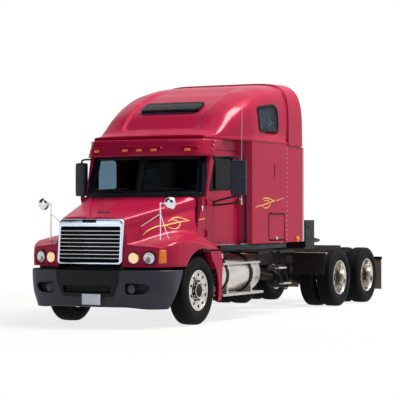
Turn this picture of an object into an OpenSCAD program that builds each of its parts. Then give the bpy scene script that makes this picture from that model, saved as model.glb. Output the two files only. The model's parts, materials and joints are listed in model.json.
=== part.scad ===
// Long-nose highway tractor with a raised-roof sleeper and a tandem drive.
// Millimetres, +X forward, +Y left, +Z up. Every sub-part is placed from the front axle line.

/* [Overall] */
// Front axle to the middle of the tandem
wheelbase = 6000; // [5600:10:6600]
// Between the two drive axles
tandem_spacing = 1320; // [1300:5:1450]
// Front axle to the bumper face
front_overhang = 1285; // [1270:5:1330]
// Middle of the tandem to the rear flaps
rear_overhang = 1550; // [1500:10:1800]

/* [Wheels] */
// Tyre outside diameter
tyre_d = 1010; // [980:2:1030]
// Tyre section width
tyre_w = 280; // [260:2:290]
// Rim flange diameter
rim_d = 596; // [580:2:610]
// Between front tyre middles
front_track = 2060; // [2040:2:2080]
// Between the middles of the dual pairs
rear_track = 1830; // [1810:2:1850]
// Between the two tyres of a dual pair
dual_spacing = 330; // [315:1:345]
// Wheel stud circle
stud_circle = 285.75; // [275:0.25:335]
// Wheel studs
stud_count = 10; // [8:2:12]
// Lug nut across
lug_d = 33; // [27:1:38]
// Spindle and axle end radius at the wheel bearing
spindle_r = 40; // [34:1:46]
// Radial clearance of running fits
running_gap = 0.08; // [0.05:0.01:0.1]

/* [Steering] */
// Between the kingpins
kingpin_span = 1760; // [1740:2:1780]
// Kingpin radius
kingpin_r = 22; // [18:1:25]
// Steering arm length behind the kingpin
steer_arm = 170; // [150:2:190]

/* [Frame] */
// Over the frame rails
frame_w = 860; // [850:2:880]
// Rail height
rail_h = 270; // [250:5:290]
// Rail flange width
rail_flange = 90; // [80:1:95]
// Rail plate thickness
rail_t = 10; // [8:1:14]
// Top of the rails above the ground
frame_top = 1030; // [1020:2:1050]

/* [Tanks] */
// Fuel tank diameter
tank_d = 600; // [560:5:620]
// Fuel tank length
tank_len = 1370; // [1200:10:1420]
// Tank middle from the truck's middle
tank_y = 880; // [870:2:890]
// Tank middle above the ground
tank_z = 705; // [690:2:720]
// Strap width
strap_w = 65; // [40:5:90]

/* [Cab] */
// Cab width over the doors
cab_w = 2100; // [2080:2:2120]
// Sleeper width
sleeper_w = 2430; // [2400:2:2440]
// Underside of cab and sleeper above the ground
cab_floor = 1155; // [1145:1:1165]
// Seam between the lower body and the roof cap
roof_seam = 2760; // [2740:5:2800]
// Wall and door thickness
wall = 60; // [50:1:70]
// Gap round doors and lids
door_gap = 8; // [6:1:12]
// Roof cap height above the seam at the back
roof_rise = 1000; // [940:10:1060]
// Length of the side extenders behind the back wall
extender_len = 560; // [400:10:700]

/* [Hood] */
// Hood shell thickness
hood_t = 14; // [10:1:18]
// Half width of the hood shoulder at the nose
nose_half = 552; // [548:2:562]
// Height of the hood shoulder at the nose
nose_z = 1566; // [1550:2:1580]
// Height of the hood shoulder at the cowl
cowl_z = 1851; // [1845:1:1856]
// Wheel arch radius
arch_r = 612; // [600:2:620]

/* [Front] */
// Bumper top above the ground
bumper_top = 826; // [800:2:830]
// Bumper height
bumper_h = 530; // [480:5:560]
// Bumper half width
bumper_half = 1235; // [1220:1:1245]
// Grille height
grille_h = 640; // [600:5:650]
// Grille width
grille_w = 1080; // [1060:2:1086]
// Grille bars
grille_bars = 8; // [5:1:10]
// Inner lamp diameter
lamp_in_d = 146; // [130:2:156]
// Outer lamp diameter
lamp_out_d = 176; // [150:2:184]

/* [Fifth wheel] */
// Coupling plate width
plate_w = 900; // [840:10:940]
// Coupling height above the ground
coupling_z = 1205; // [1195:1:1225]
// Trailer kingpin radius
trailer_pin_r = 25.4; // [25:0.1:26]
// Rest tilt of the coupling plate
plate_tilt = 8; // [2:1:10]

/* [Hidden] */
$fn = 48;
front_axle_x = (wheelbase + front_overhang + rear_overhang) / 2 - front_overhang;
axle_z = tyre_d / 2;
tyre_r = tyre_d / 2;
rim_r = rim_d / 2;
drive_x = [-wheelbase + tandem_spacing / 2, -wheelbase - tandem_spacing / 2];
rail_bottom = frame_top - rail_h;
frame_rear = -wheelbase - tandem_spacing / 2 - tyre_r - 90;
flap_x = -wheelbase - rear_overhang;
cab_half = cab_w / 2;
sleeper_half = sleeper_w / 2;
back_wall_x = -3060;
door_front = -452;
door_rear = -1532;
hood_rear = -120;
hood_nose = 1050;
tail_x = -552;
face_x = 1206;
face_z = 890;
face_r = 3000;
face_rake = 5.1;
pivot_x = 1186;
pivot_z = 858;
windshield_axis = -2630;
glass_t = 8;
hinge_pin_r = 9;
sides = [1, -1];

// Small helpers
function mix(a, b, t) = a + (b - a) * t;
function clamp01(t) = min(1, max(0, t));
function unit(v) = v / max(1e-9, norm(v));
function front_face(y,
    z) = face_x - (face_r - sqrt(face_r * face_r - y * y)) - tan(face_rake) * (z - face_z);

module at_axle() {
    translate([front_axle_x, 0, 0]) children();
}

// A cylinder lying along X or Y
module rod_x(r, len) {
    rotate([0, 90, 0]) cylinder(r = r, h = len);
}

module rod_y(r, len) {
    rotate([-90, 0, 0]) cylinder(r = r, h = len);
}

// A box from two corners
module box(a, b) {
    translate([min(a[0], b[0]), min(a[1], b[1]), min(a[2], b[2])])
        cube([abs(b[0] - a[0]), abs(b[1] - a[1]), abs(b[2] - a[2])]);
}

// A straight round bar between two points
module bar(a, b, r) {
    d = b - a;
    translate(a)
        rotate([0, acos(d[2] / norm(d)), atan2(d[1], d[0])])
            cylinder(r = r, h = norm(d));
}

// A side-view outline [x, z] made into a slab from y0 to y1
module side_slab(outline, y0, y1) {
    translate([0, max(y0, y1), 0])
        rotate([90, 0, 0])
            linear_extrude(height = abs(y1 - y0)) polygon(outline);
}

// A front-view outline [y, z] made into a slab from x0 to x1
module front_slab(outline, x0, x1) {
    translate([min(x0, x1), 0, 0])
        rotate([90, 0, 90])
            linear_extrude(height = abs(x1 - x0)) polygon(outline);
}

// Corners of an outline rounded with a radius, by arcs of a few steps
function round_corner(a, b, c, r, steps) =
    let (u = unit(a - b), w = unit(c - b),
         half = acos(max(-1, min(1, u * w))) / 2,
         d = min(r / tan(half), norm(a - b) * 0.49, norm(c - b) * 0.49),
         rad = d * tan(half),
         mid = b + unit(u + w) * (rad / sin(half)),
         p0 = b + u * d, p1 = b + w * d,
         a0 = atan2(p0[1] - mid[1], p0[0] - mid[0]),
         a1 = atan2(p1[1] - mid[1], p1[0] - mid[0]),
         turn = a1 - a0 > 180 ? a1 - a0 - 360 : (a1 - a0 < -180 ? a1 - a0 + 360 : a1 - a0))
    [for (k = [0 : steps]) mid + rad * [cos(a0 + turn * k / steps), sin(a0 + turn * k / steps)]];

function rounded(points, r, steps = 4) =
    let (n = len(points))
    [for (i = [0 : n - 1]) each round_corner(points[(i + n - 1) % n], points[i], points[(i + 1) % n], r,
        steps)];

// An even-thickness sheet from a grid of points: rows run along the part, columns across it
function grid_normal(g, i, j) =
    let (m = len(g) - 1, n = len(g[0]) - 1,
         du = g[i][min(j + 1, n)] - g[i][max(j - 1, 0)],
         dv = g[min(i + 1, m)][j] - g[max(i - 1, 0)][j])
    unit(cross(du, dv));

module sheet(g, t) {
    m = len(g);
    n = len(g[0]);
    outer = [for (i = [0 : m - 1]) for (j = [0 : n - 1]) g[i][j]];
    inner = [for (i = [0 : m - 1]) for (j = [0 : n - 1]) g[i][j] - t * grid_normal(g, i, j)];
    k = m * n;
    skin = [for (i = [0 : m - 2]) for (j = [0 : n - 2])
        let (a = i * n + j, b = a + 1, c = a + n, d = c + 1)
        each [[a, c, b], [b, c, d], [k + a, k + b, k + c], [k + b, k + d, k + c]]];
    ends = [for (j = [0 : n - 2])
        let (a = j, b = j + 1, c = (m - 1) * n + j, d = c + 1)
        each [[a, b, k + a], [b, k + b, k + a], [c, k + c, d], [d, k + c, k + d]]];
    edges = [for (i = [0 : m - 2])
        let (a = i * n, b = a + n, c = a + n - 1, d = c + n)
        each [[a, k + a, b], [b, k + a, k + b], [c, d, k + c], [d, k + d, k + c]]];
    polyhedron(points = concat(outer, inner), faces = concat(skin, ends, edges), convexity = 8);
}

// Chassis: rails, crossmembers, tank straps, hood hinge lugs and a pattern for a tow hook
rail_front = 1000;
mount_x = [-420, -1440, -2900];
cross_x = [700, -900, -1800, -2900, -4200, -wheelbase, frame_rear + 40];
strap_x = [-900, -1740];
tank_front = -740;

module rail() {
    outline = [[0, 0], [rail_flange, 0], [rail_flange, rail_t], [rail_t, rail_t],
        [rail_t, rail_h - rail_t], [rail_flange, rail_h - rail_t], [rail_flange, rail_h], [0, rail_h]];
    front_slab([for (p = outline) [-frame_w / 2 + p[0], rail_bottom + p[1]]], frame_rear, rail_front);
}

module strap(x) {
    difference() {
        translate([x - strap_w / 2, tank_y, tank_z]) rod_x(tank_d / 2 + 8, strap_w);
        translate([x - strap_w, tank_y, tank_z]) rod_x(tank_d / 2 + 0.4, strap_w * 2);
    }
    difference() {
        box([x - strap_w / 2, frame_w / 2 - 1, rail_bottom + 20], [x + strap_w / 2, tank_y - 120,
            frame_top - 30]);
        translate([x - strap_w, tank_y, tank_z]) rod_x(tank_d / 2 + 4, strap_w * 2);
    }
}

module hood_lug(s) {
    translate([pivot_x, s * 540 - 15, pivot_z]) rod_y(18, 30);
    translate([pivot_x, s * 562 - 37, pivot_z]) rod_y(hinge_pin_r, 74);
    side_slab([[pivot_x - 4, pivot_z - 17.5], [pivot_x + 4, pivot_z + 17.5], [1060, pivot_z - 20], [1060,
        700],
        [1090, 700], [1090, pivot_z - 60]], s * 540 - 15, s * 540 + 15);
}

module frame() {
    color("#17181a") at_axle() {
        difference() {
            union() {
                rail();
                mirror([0, 1, 0]) rail();
                for (x = cross_x) {
                    box([x - 45, -frame_w / 2 + 1, frame_top - 110], [x + 45, frame_w / 2 - 1,
                        frame_top - 20]);
                }
                box([rail_front - 90, -640, rail_bottom + 20], [rail_front + 92, 640, rail_bottom + 100]);
                box([frame_rear - 12, -frame_w / 2, rail_bottom], [frame_rear + 2, frame_w / 2, frame_top]);
                for (x = strap_x) {
                    strap(x);
                    mirror([0, 1, 0]) strap(x);
                }
                for (s = sides) {
                    hood_lug(s);
                    for (x = mount_x) {
                        translate([x, s * (frame_w - rail_flange) / 2, frame_top - 1])
                            cylinder(r = 44, h = cab_floor - frame_top + (x < -1560 ? 5.8 : 0.8));
                    }
                }
            }
            for (y = [-42.85, 42.85]) {
                for (z = [-22.25, 22.25]) {
                    translate([frame_rear - 60, y, (rail_bottom + frame_top) / 2 + z]) rod_x(7, 220);
                }
            }
        }
    }
}

// Engine, gearbox and exhaust as one plain mass
module powertrain() {
    color("#2a2c2f") at_axle() {
        box([640, -320, 560], [-212, 320, 1480]);
        box([-211, -250, 600], [-640, 250, 900]);
        box([-639, -200, 620], [-1400, 200, 890]);
        translate([-1900, -280, 640]) rod_x(115, 760);
        translate([-1200, -280, 640]) rod_x(45, 300);
        box([-900, -310, 610], [-960, -190, 670]);
        translate([-2250, -280, 640]) rod_x(55, 400);
    }
}

// Front axle: dropped beam, kingpins and leaf springs
spring_y = frame_w / 2 - rail_flange / 2;
beam_end = kingpin_span / 2;

function leaf_curve(half, low, steps) = [for (k = [-steps : steps]) let (x = half * k / steps) [x,
    low + x * x / 3800]];

module leaf_spring() {
    for (k = [0 : 3]) {
        half = 660 - k * 140;
        upper = leaf_curve(half, 488 - k * 14, 6);
        under = leaf_curve(half, 473.8 - k * 14, 6);
        side_slab(concat(upper, [for (q = [len(under) - 1 : -1 : 0]) under[q]]), spring_y - 40,
            spring_y + 40);
    }
    for (x = [-640, 640]) {
        box([x - 40, spring_y - 44, 550], [x + 40, spring_y + 44, rail_bottom - 0.2]);
    }
    box([-60, spring_y - 44, 400], [60, spring_y + 44, 510]);
}

module front_axle() {
    color("#1b1c1e") at_axle() {
        front_slab([[-beam_end + 20, axle_z - 60], [-620, 370], [620, 370], [beam_end - 20, axle_z - 60],
            [beam_end - 20, axle_z + 40], [610, 470], [-610, 470], [-beam_end + 20, axle_z + 40]], -55, 55);
        for (s = sides) {
            translate([0, s * beam_end, axle_z - 75]) cylinder(r = 52, h = 130);
            translate([0, s * beam_end, axle_z - 140]) cylinder(r = kingpin_r, h = 270);
        }
        leaf_spring();
        mirror([0, 1, 0]) leaf_spring();
    }
}

// Drive axles with their shafts
hub_end = rear_track / 2 + 160;

module drive_axles() {
    color("#202123") at_axle() {
        for (x = drive_x) {
            translate([x, -rear_track / 2 + 190, axle_z]) rod_y(74, rear_track - 380);
            translate([x, -hub_end, axle_z]) rod_y(spindle_r, 2 * hub_end);
            translate([x, -150, axle_z]) rod_y(205, 300);
            translate([x + 100, 0, axle_z]) rod_x(110, 200);
        }
        translate([drive_x[1] + 250, 0, axle_z]) rod_x(52, tandem_spacing - 300);
        bar([drive_x[0] + 280, 0, axle_z], [-1405, 0, 790], 55);
    }
}

// Trailing arms and air springs
arm_y = frame_w / 2 - rail_flange / 2;

module arm(x) {
    box([x - 460, arm_y - 40, axle_z + 70], [x + 430, arm_y + 40, axle_z + 130]);
    box([x + 370, arm_y - 44, axle_z + 60], [x + 450, arm_y + 44, rail_bottom - 0.2]);
    translate([x - 340, arm_y, axle_z + 128]) cylinder(r = 105, h = rail_bottom - axle_z - 128.2);
    box([x - 96, arm_y - 50, axle_z - 90], [x + 96, arm_y + 50, axle_z + 75]);
}

module rear_suspension() {
    color("#1d1e20") at_axle() {
        difference() {
            for (x = drive_x) {
                arm(x);
                mirror([0, 1, 0]) arm(x);
            }
            for (x = drive_x) {
                translate([x, -600, axle_z]) rod_y(74.4, 1200);
            }
        }
    }
}

module radiator() {
    color("#101113") at_axle() {
        box([800, -460, frame_top + 0.2], [900, 460, 1440]);
        box([800, -frame_w / 2 + rail_flange + 5, 700], [900, frame_w / 2 - rail_flange - 5,
            frame_top + 1]);
    }
}

// Bumper: one moulded section carried round a plan of an arc, two corners and two returns
bumper_r = 2400;
corner_r = 410;
arc_a = asin((bumper_half - corner_r) / (bumper_r - corner_r));
turn_a = 90 - arc_a;
bumper_section = [[0, 0], [-60, 0], [-60, -16], [-26, -16], [-22, -120], [-40, -330], [-100,
    -bumper_h + 22],
    [-150, -bumper_h + 16], [-150, -bumper_h], [-88, -bumper_h], [-16, -330], [0, -130]];

// A section carried round a plan of an arc, two corners and two straight tails
module swept_band(nose_x, z, arc, half_a, corner, turn, tail, section) {
    arc_x = nose_x - arc;
    spin_x = arc_x + (arc - corner) * cos(half_a);
    spin_y = (arc - corner) * sin(half_a);
    translate([arc_x, 0, z])
        rotate([0, 0, -half_a])
            rotate_extrude(angle = 2 * half_a, $fn = 180)
                translate([arc, 0]) polygon(section);
    for (s = [0, 1]) {
        mirror([0, s, 0]) {
            translate([spin_x, spin_y, z])
                rotate([0, 0, half_a - 0.4])
                    rotate_extrude(angle = turn + 0.4, $fn = 96)
                        translate([corner, 0]) polygon(section);
            translate([spin_x, spin_y, z])
                rotate([90, 0, half_a + turn])
                    translate([0, 0, -tail])
                        linear_extrude(height = tail + 1) translate([corner, 0]) polygon(section);
        }
    }
}

insert_outline = [[-520, bumper_top + 2], [520, bumper_top + 2], [500, bumper_top - 180], [410,
    bumper_top - 370],
    [-410, bumper_top - 370], [-500, bumper_top - 180]];
pod_outline = rounded([[590, bumper_top - 170], [930, bumper_top - 190], [960, bumper_top - 260],
    [860, bumper_top - 340], [600, bumper_top - 350]], 60);

module bumper() {
    color("#3a3c48") at_axle() {
        difference() {
            swept_band(front_overhang, bumper_top, bumper_r, arc_a, corner_r, turn_a, 110, bumper_section);
            front_slab(insert_outline, front_overhang - 260, front_overhang + 50);
            front_slab(pod_outline, front_overhang - 300, front_overhang + 50);
            mirror([0, 1, 0]) front_slab(pod_outline, front_overhang - 300, front_overhang + 50);
        }
        for (s = sides) {
            box([rail_front + 92.3, s * 608, bumper_top - 310],
                [front_overhang - 96, s * 592, bumper_top - 26]);
        }
    }
}

module bumper_insert() {
    color("#0c0d0f") at_axle() {
        difference() {
            intersection() {
                translate([front_overhang - bumper_r, 0, bumper_top - 375])
                    difference() {
                        cylinder(r = bumper_r, h = 372, $fn = 180);
                        translate([0, 0, -1]) cylinder(r = bumper_r - 60, h = 400, $fn = 180);
                    }
                front_slab([for (p = insert_outline) [p[0] * 0.995,
                    p[1] + (p[1] < bumper_top - 300 ? 1 : -1)]], front_overhang - 260, front_overhang + 50);
            }
            box([0, -400, bumper_top - 330], [2000, 400, bumper_top - 215]);
        }
        box([rail_front + 92.2, -440, rail_bottom + 30], [front_overhang - 50, 440, rail_bottom + 45]);
    }
}

module tank() {
    translate([tank_front - tank_len, tank_y, tank_z])
        rotate([0, 90, 0])
            rotate_extrude()
                polygon([[0, 0], [tank_d / 2 - 60, 0], [tank_d / 2 - 18, 12], [tank_d / 2, 45],
                    [tank_d / 2, tank_len - 45], [tank_d / 2 - 18, tank_len - 12], [tank_d / 2 - 60,
                        tank_len], [0, tank_len]]);
    translate([tank_front - 250, tank_y + 120, tank_z + tank_d / 2 - 60]) cylinder(r = 55, h = 75);
}

module fuel_tanks() {
    color("#b9bcc0") at_axle() {
        tank();
        mirror([0, 1, 0]) tank();
    }
}

// Steps over and under the tanks, hung from the straps
step_len = 1420;

module step_pair() {
    lean = tank_d / 2 + 8.2;
    box([tank_front + 20, tank_y + 150, tank_z + 150], [tank_front + 20 - step_len * 0.92, tank_y + 318,
        tank_z + 178]);
    box([tank_front + 20, tank_y + 90, tank_z - 325], [tank_front + 20 - step_len, tank_y + 318,
        tank_z - 290]);
    for (x = strap_x) {
        difference() {
            box([x - 24, tank_y + 150, tank_z + 80], [x + 24, tank_y + 314, tank_z + 150.5]);
            translate([x - 40, tank_y, tank_z]) rod_x(lean, 80);
        }
        difference() {
            box([x - 24, tank_y + 90, tank_z - 300], [x + 24, tank_y + 300, tank_z - 150]);
            translate([x - 40, tank_y, tank_z]) rod_x(lean, 80);
        }
    }
}

module tank_steps() {
    color("#aeb2b6") at_axle() {
        difference() {
            union() {
                step_pair();
                mirror([0, 1, 0]) step_pair();
            }
            for (s = sides) {
                translate([tank_front - tank_len - 100, s * tank_y, tank_z]) rod_x(tank_d / 2 + 0.4,
                    tank_len + 300);
                for (x = strap_x) {
                    translate([x - strap_w / 2 - 2, s * tank_y, tank_z]) rod_x(tank_d / 2 + 8.3,
                        strap_w + 4);
                }
            }
        }
    }
}

// Tread plate behind the cab, with the side beams that carry the ladder
module deck_plate() {
    deck_rear = max(-4700, plate_x + 300);
    color("#9a9ea3") at_axle() {
        box([-3180, -frame_w / 2, frame_top + 0.2], [deck_rear, frame_w / 2, frame_top + 24]);
        box([-4240, frame_w / 2 - 1, frame_top + 0.2], [-4700, 1000, frame_top + 24]);
        for (s = sides) {
            box([-2380, s * 960, 985], [-3780, s * 1000, 1020]);
            for (x = [-2600, -3000, -3600]) {
                box([x - 25, s * (frame_w / 2 + 0.1), 985], [x + 25, s * 961, 1010]);
            }
        }
    }
}

module deck_ladder() {
    color("#141517") at_axle() {
        for (x = [-2900, -3150]) {
            bar([x, 1017, 1000], [x, 1190, 470], 14);
            box([x - 16, 1000.2, 980], [x + 16, 1020, 1018]);
        }
        for (k = [0 : 1]) {
            z = 742 - k * 250;
            y = mix(1012, 1190, (1000 - z) / 530);
            box([-2886, y - 40, z - 10], [-3164, y + 45, z + 10]);
        }
        bar([-2900, 1190, 470], [-2990, 1190, 400], 12);
        bar([-3150, 1190, 470], [-3060, 1190, 400], 12);
        bar([-2995, 1190, 400], [-3055, 1190, 400], 12);
    }
}

// Flaps before and behind the drive wheels, each on a hanger bar
module flap_pair(x, top, low, thick) {
    for (s = sides) {
        box([x - thick / 2, s * 560, low], [x + thick / 2, s * 1150, top]);
        box([x - 22, s * (frame_w / 2 + 0.1), top - 30], [x + 22, s * 1160, top + 18]);
    }
}

module mud_flaps() {
    color("#1a1a1b") at_axle() {
        flap_pair(drive_x[0] + tyre_r + 90, 930, 570, 16);
        difference() {
            flap_pair(flap_x + 22, 800, 210, 14);
            box([flap_x - 20, -frame_w / 2 - 0.1, 760], [flap_x + 60, frame_w / 2 + 0.1, 830]);
        }
        for (s = sides) {
            box([flap_x + 22, s * (frame_w / 2 + 0.1), 772], [frame_rear + 100, s * (frame_w / 2 + 50),
                818]);
        }
    }
}

// Small lamps on the chassis: visor markers, sleeper markers, fog lamps and tail lamps
visor_nose = -238;
visor_r = 4000;
visor_a = 11.7;
visor_corner = 330;
marker_y = [-788, -250, 0, 250, 788];
fog_y = 680;
fog_z = bumper_top - 262;

module chassis_lamps() {
    color("#f07a10") at_axle() {
        for (y = marker_y) {
            translate([visor_nose - visor_r, 0, roof_seam - 192])
                rotate([0, 0, asin(y / visor_r)])
                    translate([visor_r - 25.8, -44, 0]) cube([24, 88, 36]);
        }
        for (s = sides) {
            translate([-2960, s > 0 ? sleeper_half + 0.2 : -sleeper_half - 16.2,
                cab_floor + 42]) rotate([-90, 0, 0]) cylinder(r = 26, h = 16);
            translate([front_overhang - 200, s * fog_y, fog_z]) rod_x(68, 70);
            box([front_overhang - 190, s * 608.2, fog_z - 25], [front_overhang - 150, s * 640, fog_z + 25]);
            for (k = [0 : 1]) {
                box([frame_rear - 12.2, s * (200 + k * 130) - 50, 835], [frame_rear - 40,
                    s * (200 + k * 130) + 50, 935]);
            }
        }
    }
}

// Fifth wheel: brackets on the rails and a plate that rocks on two pins
plate_x = -wheelbase + 120;
rock_z = coupling_z - 85;
rock_y = 360;

module coupling_base() {
    color("#1c1d1f") at_axle() {
        for (s = sides) {
            side_slab([[plate_x - 260, frame_top + 0.2], [plate_x + 260, frame_top + 0.2],
                [plate_x + 250, frame_top + 22],
                [plate_x + 42, rock_z + 12], [plate_x + 20, rock_z + 36], [plate_x - 20, rock_z + 36],
                    [plate_x - 42, rock_z + 12],
                [plate_x - 250, frame_top + 22]], s * rock_y - 28, s * rock_y + 28);
            translate([plate_x, s * rock_y - 70, rock_z]) rod_y(20, 140);
        }
        box([plate_x - 240, -rock_y, frame_top + 0.2], [plate_x + 240, rock_y, frame_top + 16]);
    }
}

module coupling_plate() {
    half = plate_w / 2;
    rise = coupling_z - rock_z;
    color("#26282a") at_axle()
        translate([plate_x, 0, rock_z]) rotate([0, -plate_tilt, 0]) {
            difference() {
                translate([0, 0, rise - 34])
                    linear_extrude(height = 34)
                        difference() {
                            polygon(rounded([[330, -half * 0.72], [330, half * 0.72], [120, half], [-330,
                                half], [-520, half * 0.66],
                                [-520, 180], [-300, 90], [-300, -90], [-520, -180], [-520, -half * 0.66],
                                    [-330, -half], [120, -half]], 60));
                            polygon([[-420, -150], [-90, -trailer_pin_r], [0, -trailer_pin_r], [0,
                                trailer_pin_r], [-90, trailer_pin_r], [-420, 150]]);
                        }
                translate([0, 0, rise - 60]) cylinder(r = trailer_pin_r, h = 120);
            }
            for (s = sides) {
                for (d = [-1, 1]) {
                    difference() {
                        union() {
                            translate([0, s * rock_y + d * 47 - 14, 0]) rod_y(38, 28);
                            box([-38, s * rock_y + d * 47 - 14, 0], [38, s * rock_y + d * 47 + 14,
                                rise - 33.5]);
                        }
                        translate([0, s * rock_y + d * 47 - 30, 0]) rod_y(20 + running_gap, 60);
                    }
                }
            }
        }
}

// Air and lamp cable box on a post behind the back wall
module hookup_box() {
    color("#131416") at_axle() {
        box([-4280, 560, frame_top + 24.2], [-4660, 1000, 1520]);
        for (z = [1200, 1390]) {
            box([-4360, 999, z], [-4440, 1012, z + 26]);
        }
    }
}

// Cab: floor, bulkhead, conical windscreen wall, pillars and roof edge, open to the sleeper
function windshield_radius(z) = 2400 - (z - 1908) * 0.269;
header_z = 2500;

module front_wall(z0, z1, t0, t1) {
    translate([windshield_axis, 0, 0])
        rotate([0, 0, -24.4])
            rotate_extrude(angle = 48.8, $fn = 180)
                polygon([[windshield_radius(z0) - t1, z0], [windshield_radius(z0) - t0, z0],
                    [windshield_radius(z1) - t0, z1], [windshield_radius(z1) - t1, z1]]);
}

module bulkhead() {
    r = windshield_radius(1940);
    translate([windshield_axis, 0, 0])
        rotate([0, 0, -24.4])
            rotate_extrude(angle = 48.8, $fn = 180)
                polygon([[r - wall, cab_floor], [r, cab_floor], [r, 1940], [r - wall, 1940]]);
}

hinge_x = door_front + 4;
hinge_y = cab_half + 12;
hinge_z = [1300, 1760];
hinge_rod_r = 6;
door_outline = [[-670, cab_floor + 2], [-610, cab_floor + 36], [door_front, cab_floor + 36],
    [door_front, 1915], [-672, 2556], [-700, 2590], [door_rear, 2590], [door_rear, cab_floor + 2]];
window_outline = rounded([[-545, 1975], [-748, 2490], [-1330, 2490], [-1390, 2440], [-1390, 2040],
    [-1340, 2010]], 40);
cab_side = [[-170, cab_floor], [-170, 1480], [-235, 1600], [-300, 1720], [-330, 1890],
    [-330, 1905], [-560, roof_seam - 0.2],
    [-1558, roof_seam - 0.2], [-1558, cab_floor]];

module cab_shell() {
    color("#8c1d38") at_axle() {
        difference() {
            union() {
                for (s = sides) {
                    side_slab(cab_side, s * cab_half, s * (cab_half - wall));
                }
                bulkhead();
                front_wall(1939, roof_seam - 0.2, 0, wall);
                box([-320, -cab_half + 10, cab_floor], [-1558, cab_half - 10, cab_floor + 60]);
                difference() {
                    box([-420, -cab_half + 10, roof_seam - 60], [-1558, cab_half - 10, roof_seam - 0.2]);
                    box([-900, -cab_half + 180, roof_seam - 100], [-1600, cab_half - 180, roof_seam + 10]);
                    front_cut();
                }
            }
            for (s = sides) {
                side_slab([for (p = door_outline) [p[0] + (p[0] > -1000 ? door_gap : -door_gap),
                    p[1] + (p[1] > 1500 ? door_gap : -30)]],
                    s * (cab_half - wall - 40), s * (cab_half + 40));
                side_slab([[200, 1880], [200, 3000], [-700, 3000], [-443, 1880]], s * 985, s * 1100);
            }
            for (s = [0, 1]) {
                mirror([0, s, 0])
                    front_slab(rounded([[34, 1962], [900, 1962], [880, 2466], [34, 2466]], 45), -700, 0);
            }
        }
        hinge_posts();
        mirror([0, 1, 0]) hinge_posts();
    }
}

module hinge_posts() {
    for (z = hinge_z) {
        translate([hinge_x, hinge_y, z - 22]) cylinder(r = hinge_rod_r, h = 114);
        for (lug = [z - 22, z + 72]) {
            translate([hinge_x, hinge_y, lug]) cylinder(r = 10, h = 20);
            box([hinge_x + 2, cab_half - 5, lug], [hinge_x + 50, hinge_y + 9, lug + 20]);
        }
    }
}

module front_cut() {
    difference() {
        box([-200, -1200, roof_seam - 120], [-900, 1200, roof_seam + 20]);
        translate([windshield_axis, 0, roof_seam - 130])
            cylinder(r1 = windshield_radius(roof_seam - 130) - 2,
                r2 = windshield_radius(roof_seam + 30) - 2, h = 160, $fn = 180);
    }
}

// Lower sleeper box with flared corners, floor and full-height back wall
flare_top = -1700;
sleeper_plan = [[-1560, cab_half - 8], [flare_top, sleeper_half], [back_wall_x, sleeper_half],
    [back_wall_x, -sleeper_half],
    [flare_top, -sleeper_half], [-1560, -cab_half + 8]];
luggage_outline = rounded([[-2310, cab_floor + 45], [-2310, cab_floor + 485], [-2930, cab_floor + 485],
    [-2930, cab_floor + 45]], 45);

function grown(points, mid, d) = [for (p = points) p + d * [sign(p[0] - mid[0]), sign(p[1] - mid[1])]];

module sleeper_shell() {
    color("#8c1d38") at_axle() {
        difference() {
            translate([0, 0, cab_floor + 5]) linear_extrude(height = roof_seam - cab_floor - 5.2)
                polygon(sleeper_plan);
            translate([0, 0, cab_floor + 65]) linear_extrude(height = roof_seam)
                polygon([[-1500, cab_half - wall - 60], [-1640, cab_half - wall], [flare_top - 40,
                    sleeper_half - wall], [back_wall_x + 50, sleeper_half - wall],
                    [back_wall_x + 50, -sleeper_half + wall], [flare_top - 40, -sleeper_half + wall],
                        [-1640, -cab_half + wall], [-1500, -cab_half + wall + 60]]);
            for (s = sides) {
                side_slab(grown(luggage_outline, [-2620, cab_floor + 265], door_gap),
                    s * (sleeper_half - wall - 30), s * (sleeper_half + 30));
                translate([0, 0, 0]) side_slab(rounded([[-2480, 2190], [-2480, 2420], [-2560, 2420],
                    [-2560, 2190]], 38), s * (sleeper_half - 8), s * (sleeper_half + 8));
            }
        }
        for (s = [0, 1]) {
            mirror([0, s, 0]) {
                lid_knuckles(0, 4);
                translate([-2870, lid_y, lid_z]) rod_x(3, 490);
            }
        }
        front_slab(concat(
            [[sleeper_half - wall - 20, roof_seam - 60]],
            [for (a = roof_sweep) let (q = roof_point(back_wall_x, a, 24)) [q[1], q[2]]],
            [[-sleeper_half + wall + 20, roof_seam - 60]]), back_wall_x + 1, back_wall_x + 50);
    }
}

// Raised roof: a rounded section that climbs from the visor to the back wall
roof_plan = [[-3700, 1206], [-1750, 1208], [-1500, 1172], [-1000, 1078], [-700, 1000], [-560, 946]];
roof_line = [[-3700, 1.025], [-3060, 1], [-2500, 0.936], [-1900, 0.805], [-1470, 0.633], [-1190, 0.486],
    [-800, 0.11], [-560, 0.06]];
roof_square = [[-3700, 0.255], [-2300, 0.27], [-1500, 0.386], [-560, 0.62]];
roof_angles = [0, 5, 11, 18, 26, 35, 45, 55, 64, 72, 79, 85];
roof_sweep = concat(roof_angles, [90], [for (k = [len(roof_angles) - 1 : -1 : 0]) 180 - roof_angles[k]]);

function roof_base(x) = lookup(x, roof_plan) * sleeper_w / 2430;
function roof_height(x) = max(65, roof_rise * lookup(x, roof_line));
function roof_point(x, a, inset) =
    let (p = lookup(x, roof_square))
    [x, (cos(a) < 0 ? -1 : 1) * (roof_base(x) - inset) * pow(abs(cos(a)), p),
        roof_seam + 45 + (roof_height(x) - 45 - inset) * pow(sin(a), p + 0.14)];
function roof_row(x) = concat(
    [[x, roof_base(x) + 12, roof_seam], [x, roof_base(x) + 12, roof_seam + 34]],
    [for (a = roof_sweep) roof_point(x, a, 0)],
    [[x, -roof_base(x) - 12, roof_seam + 34], [x, -roof_base(x) - 12, roof_seam]]);

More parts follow.
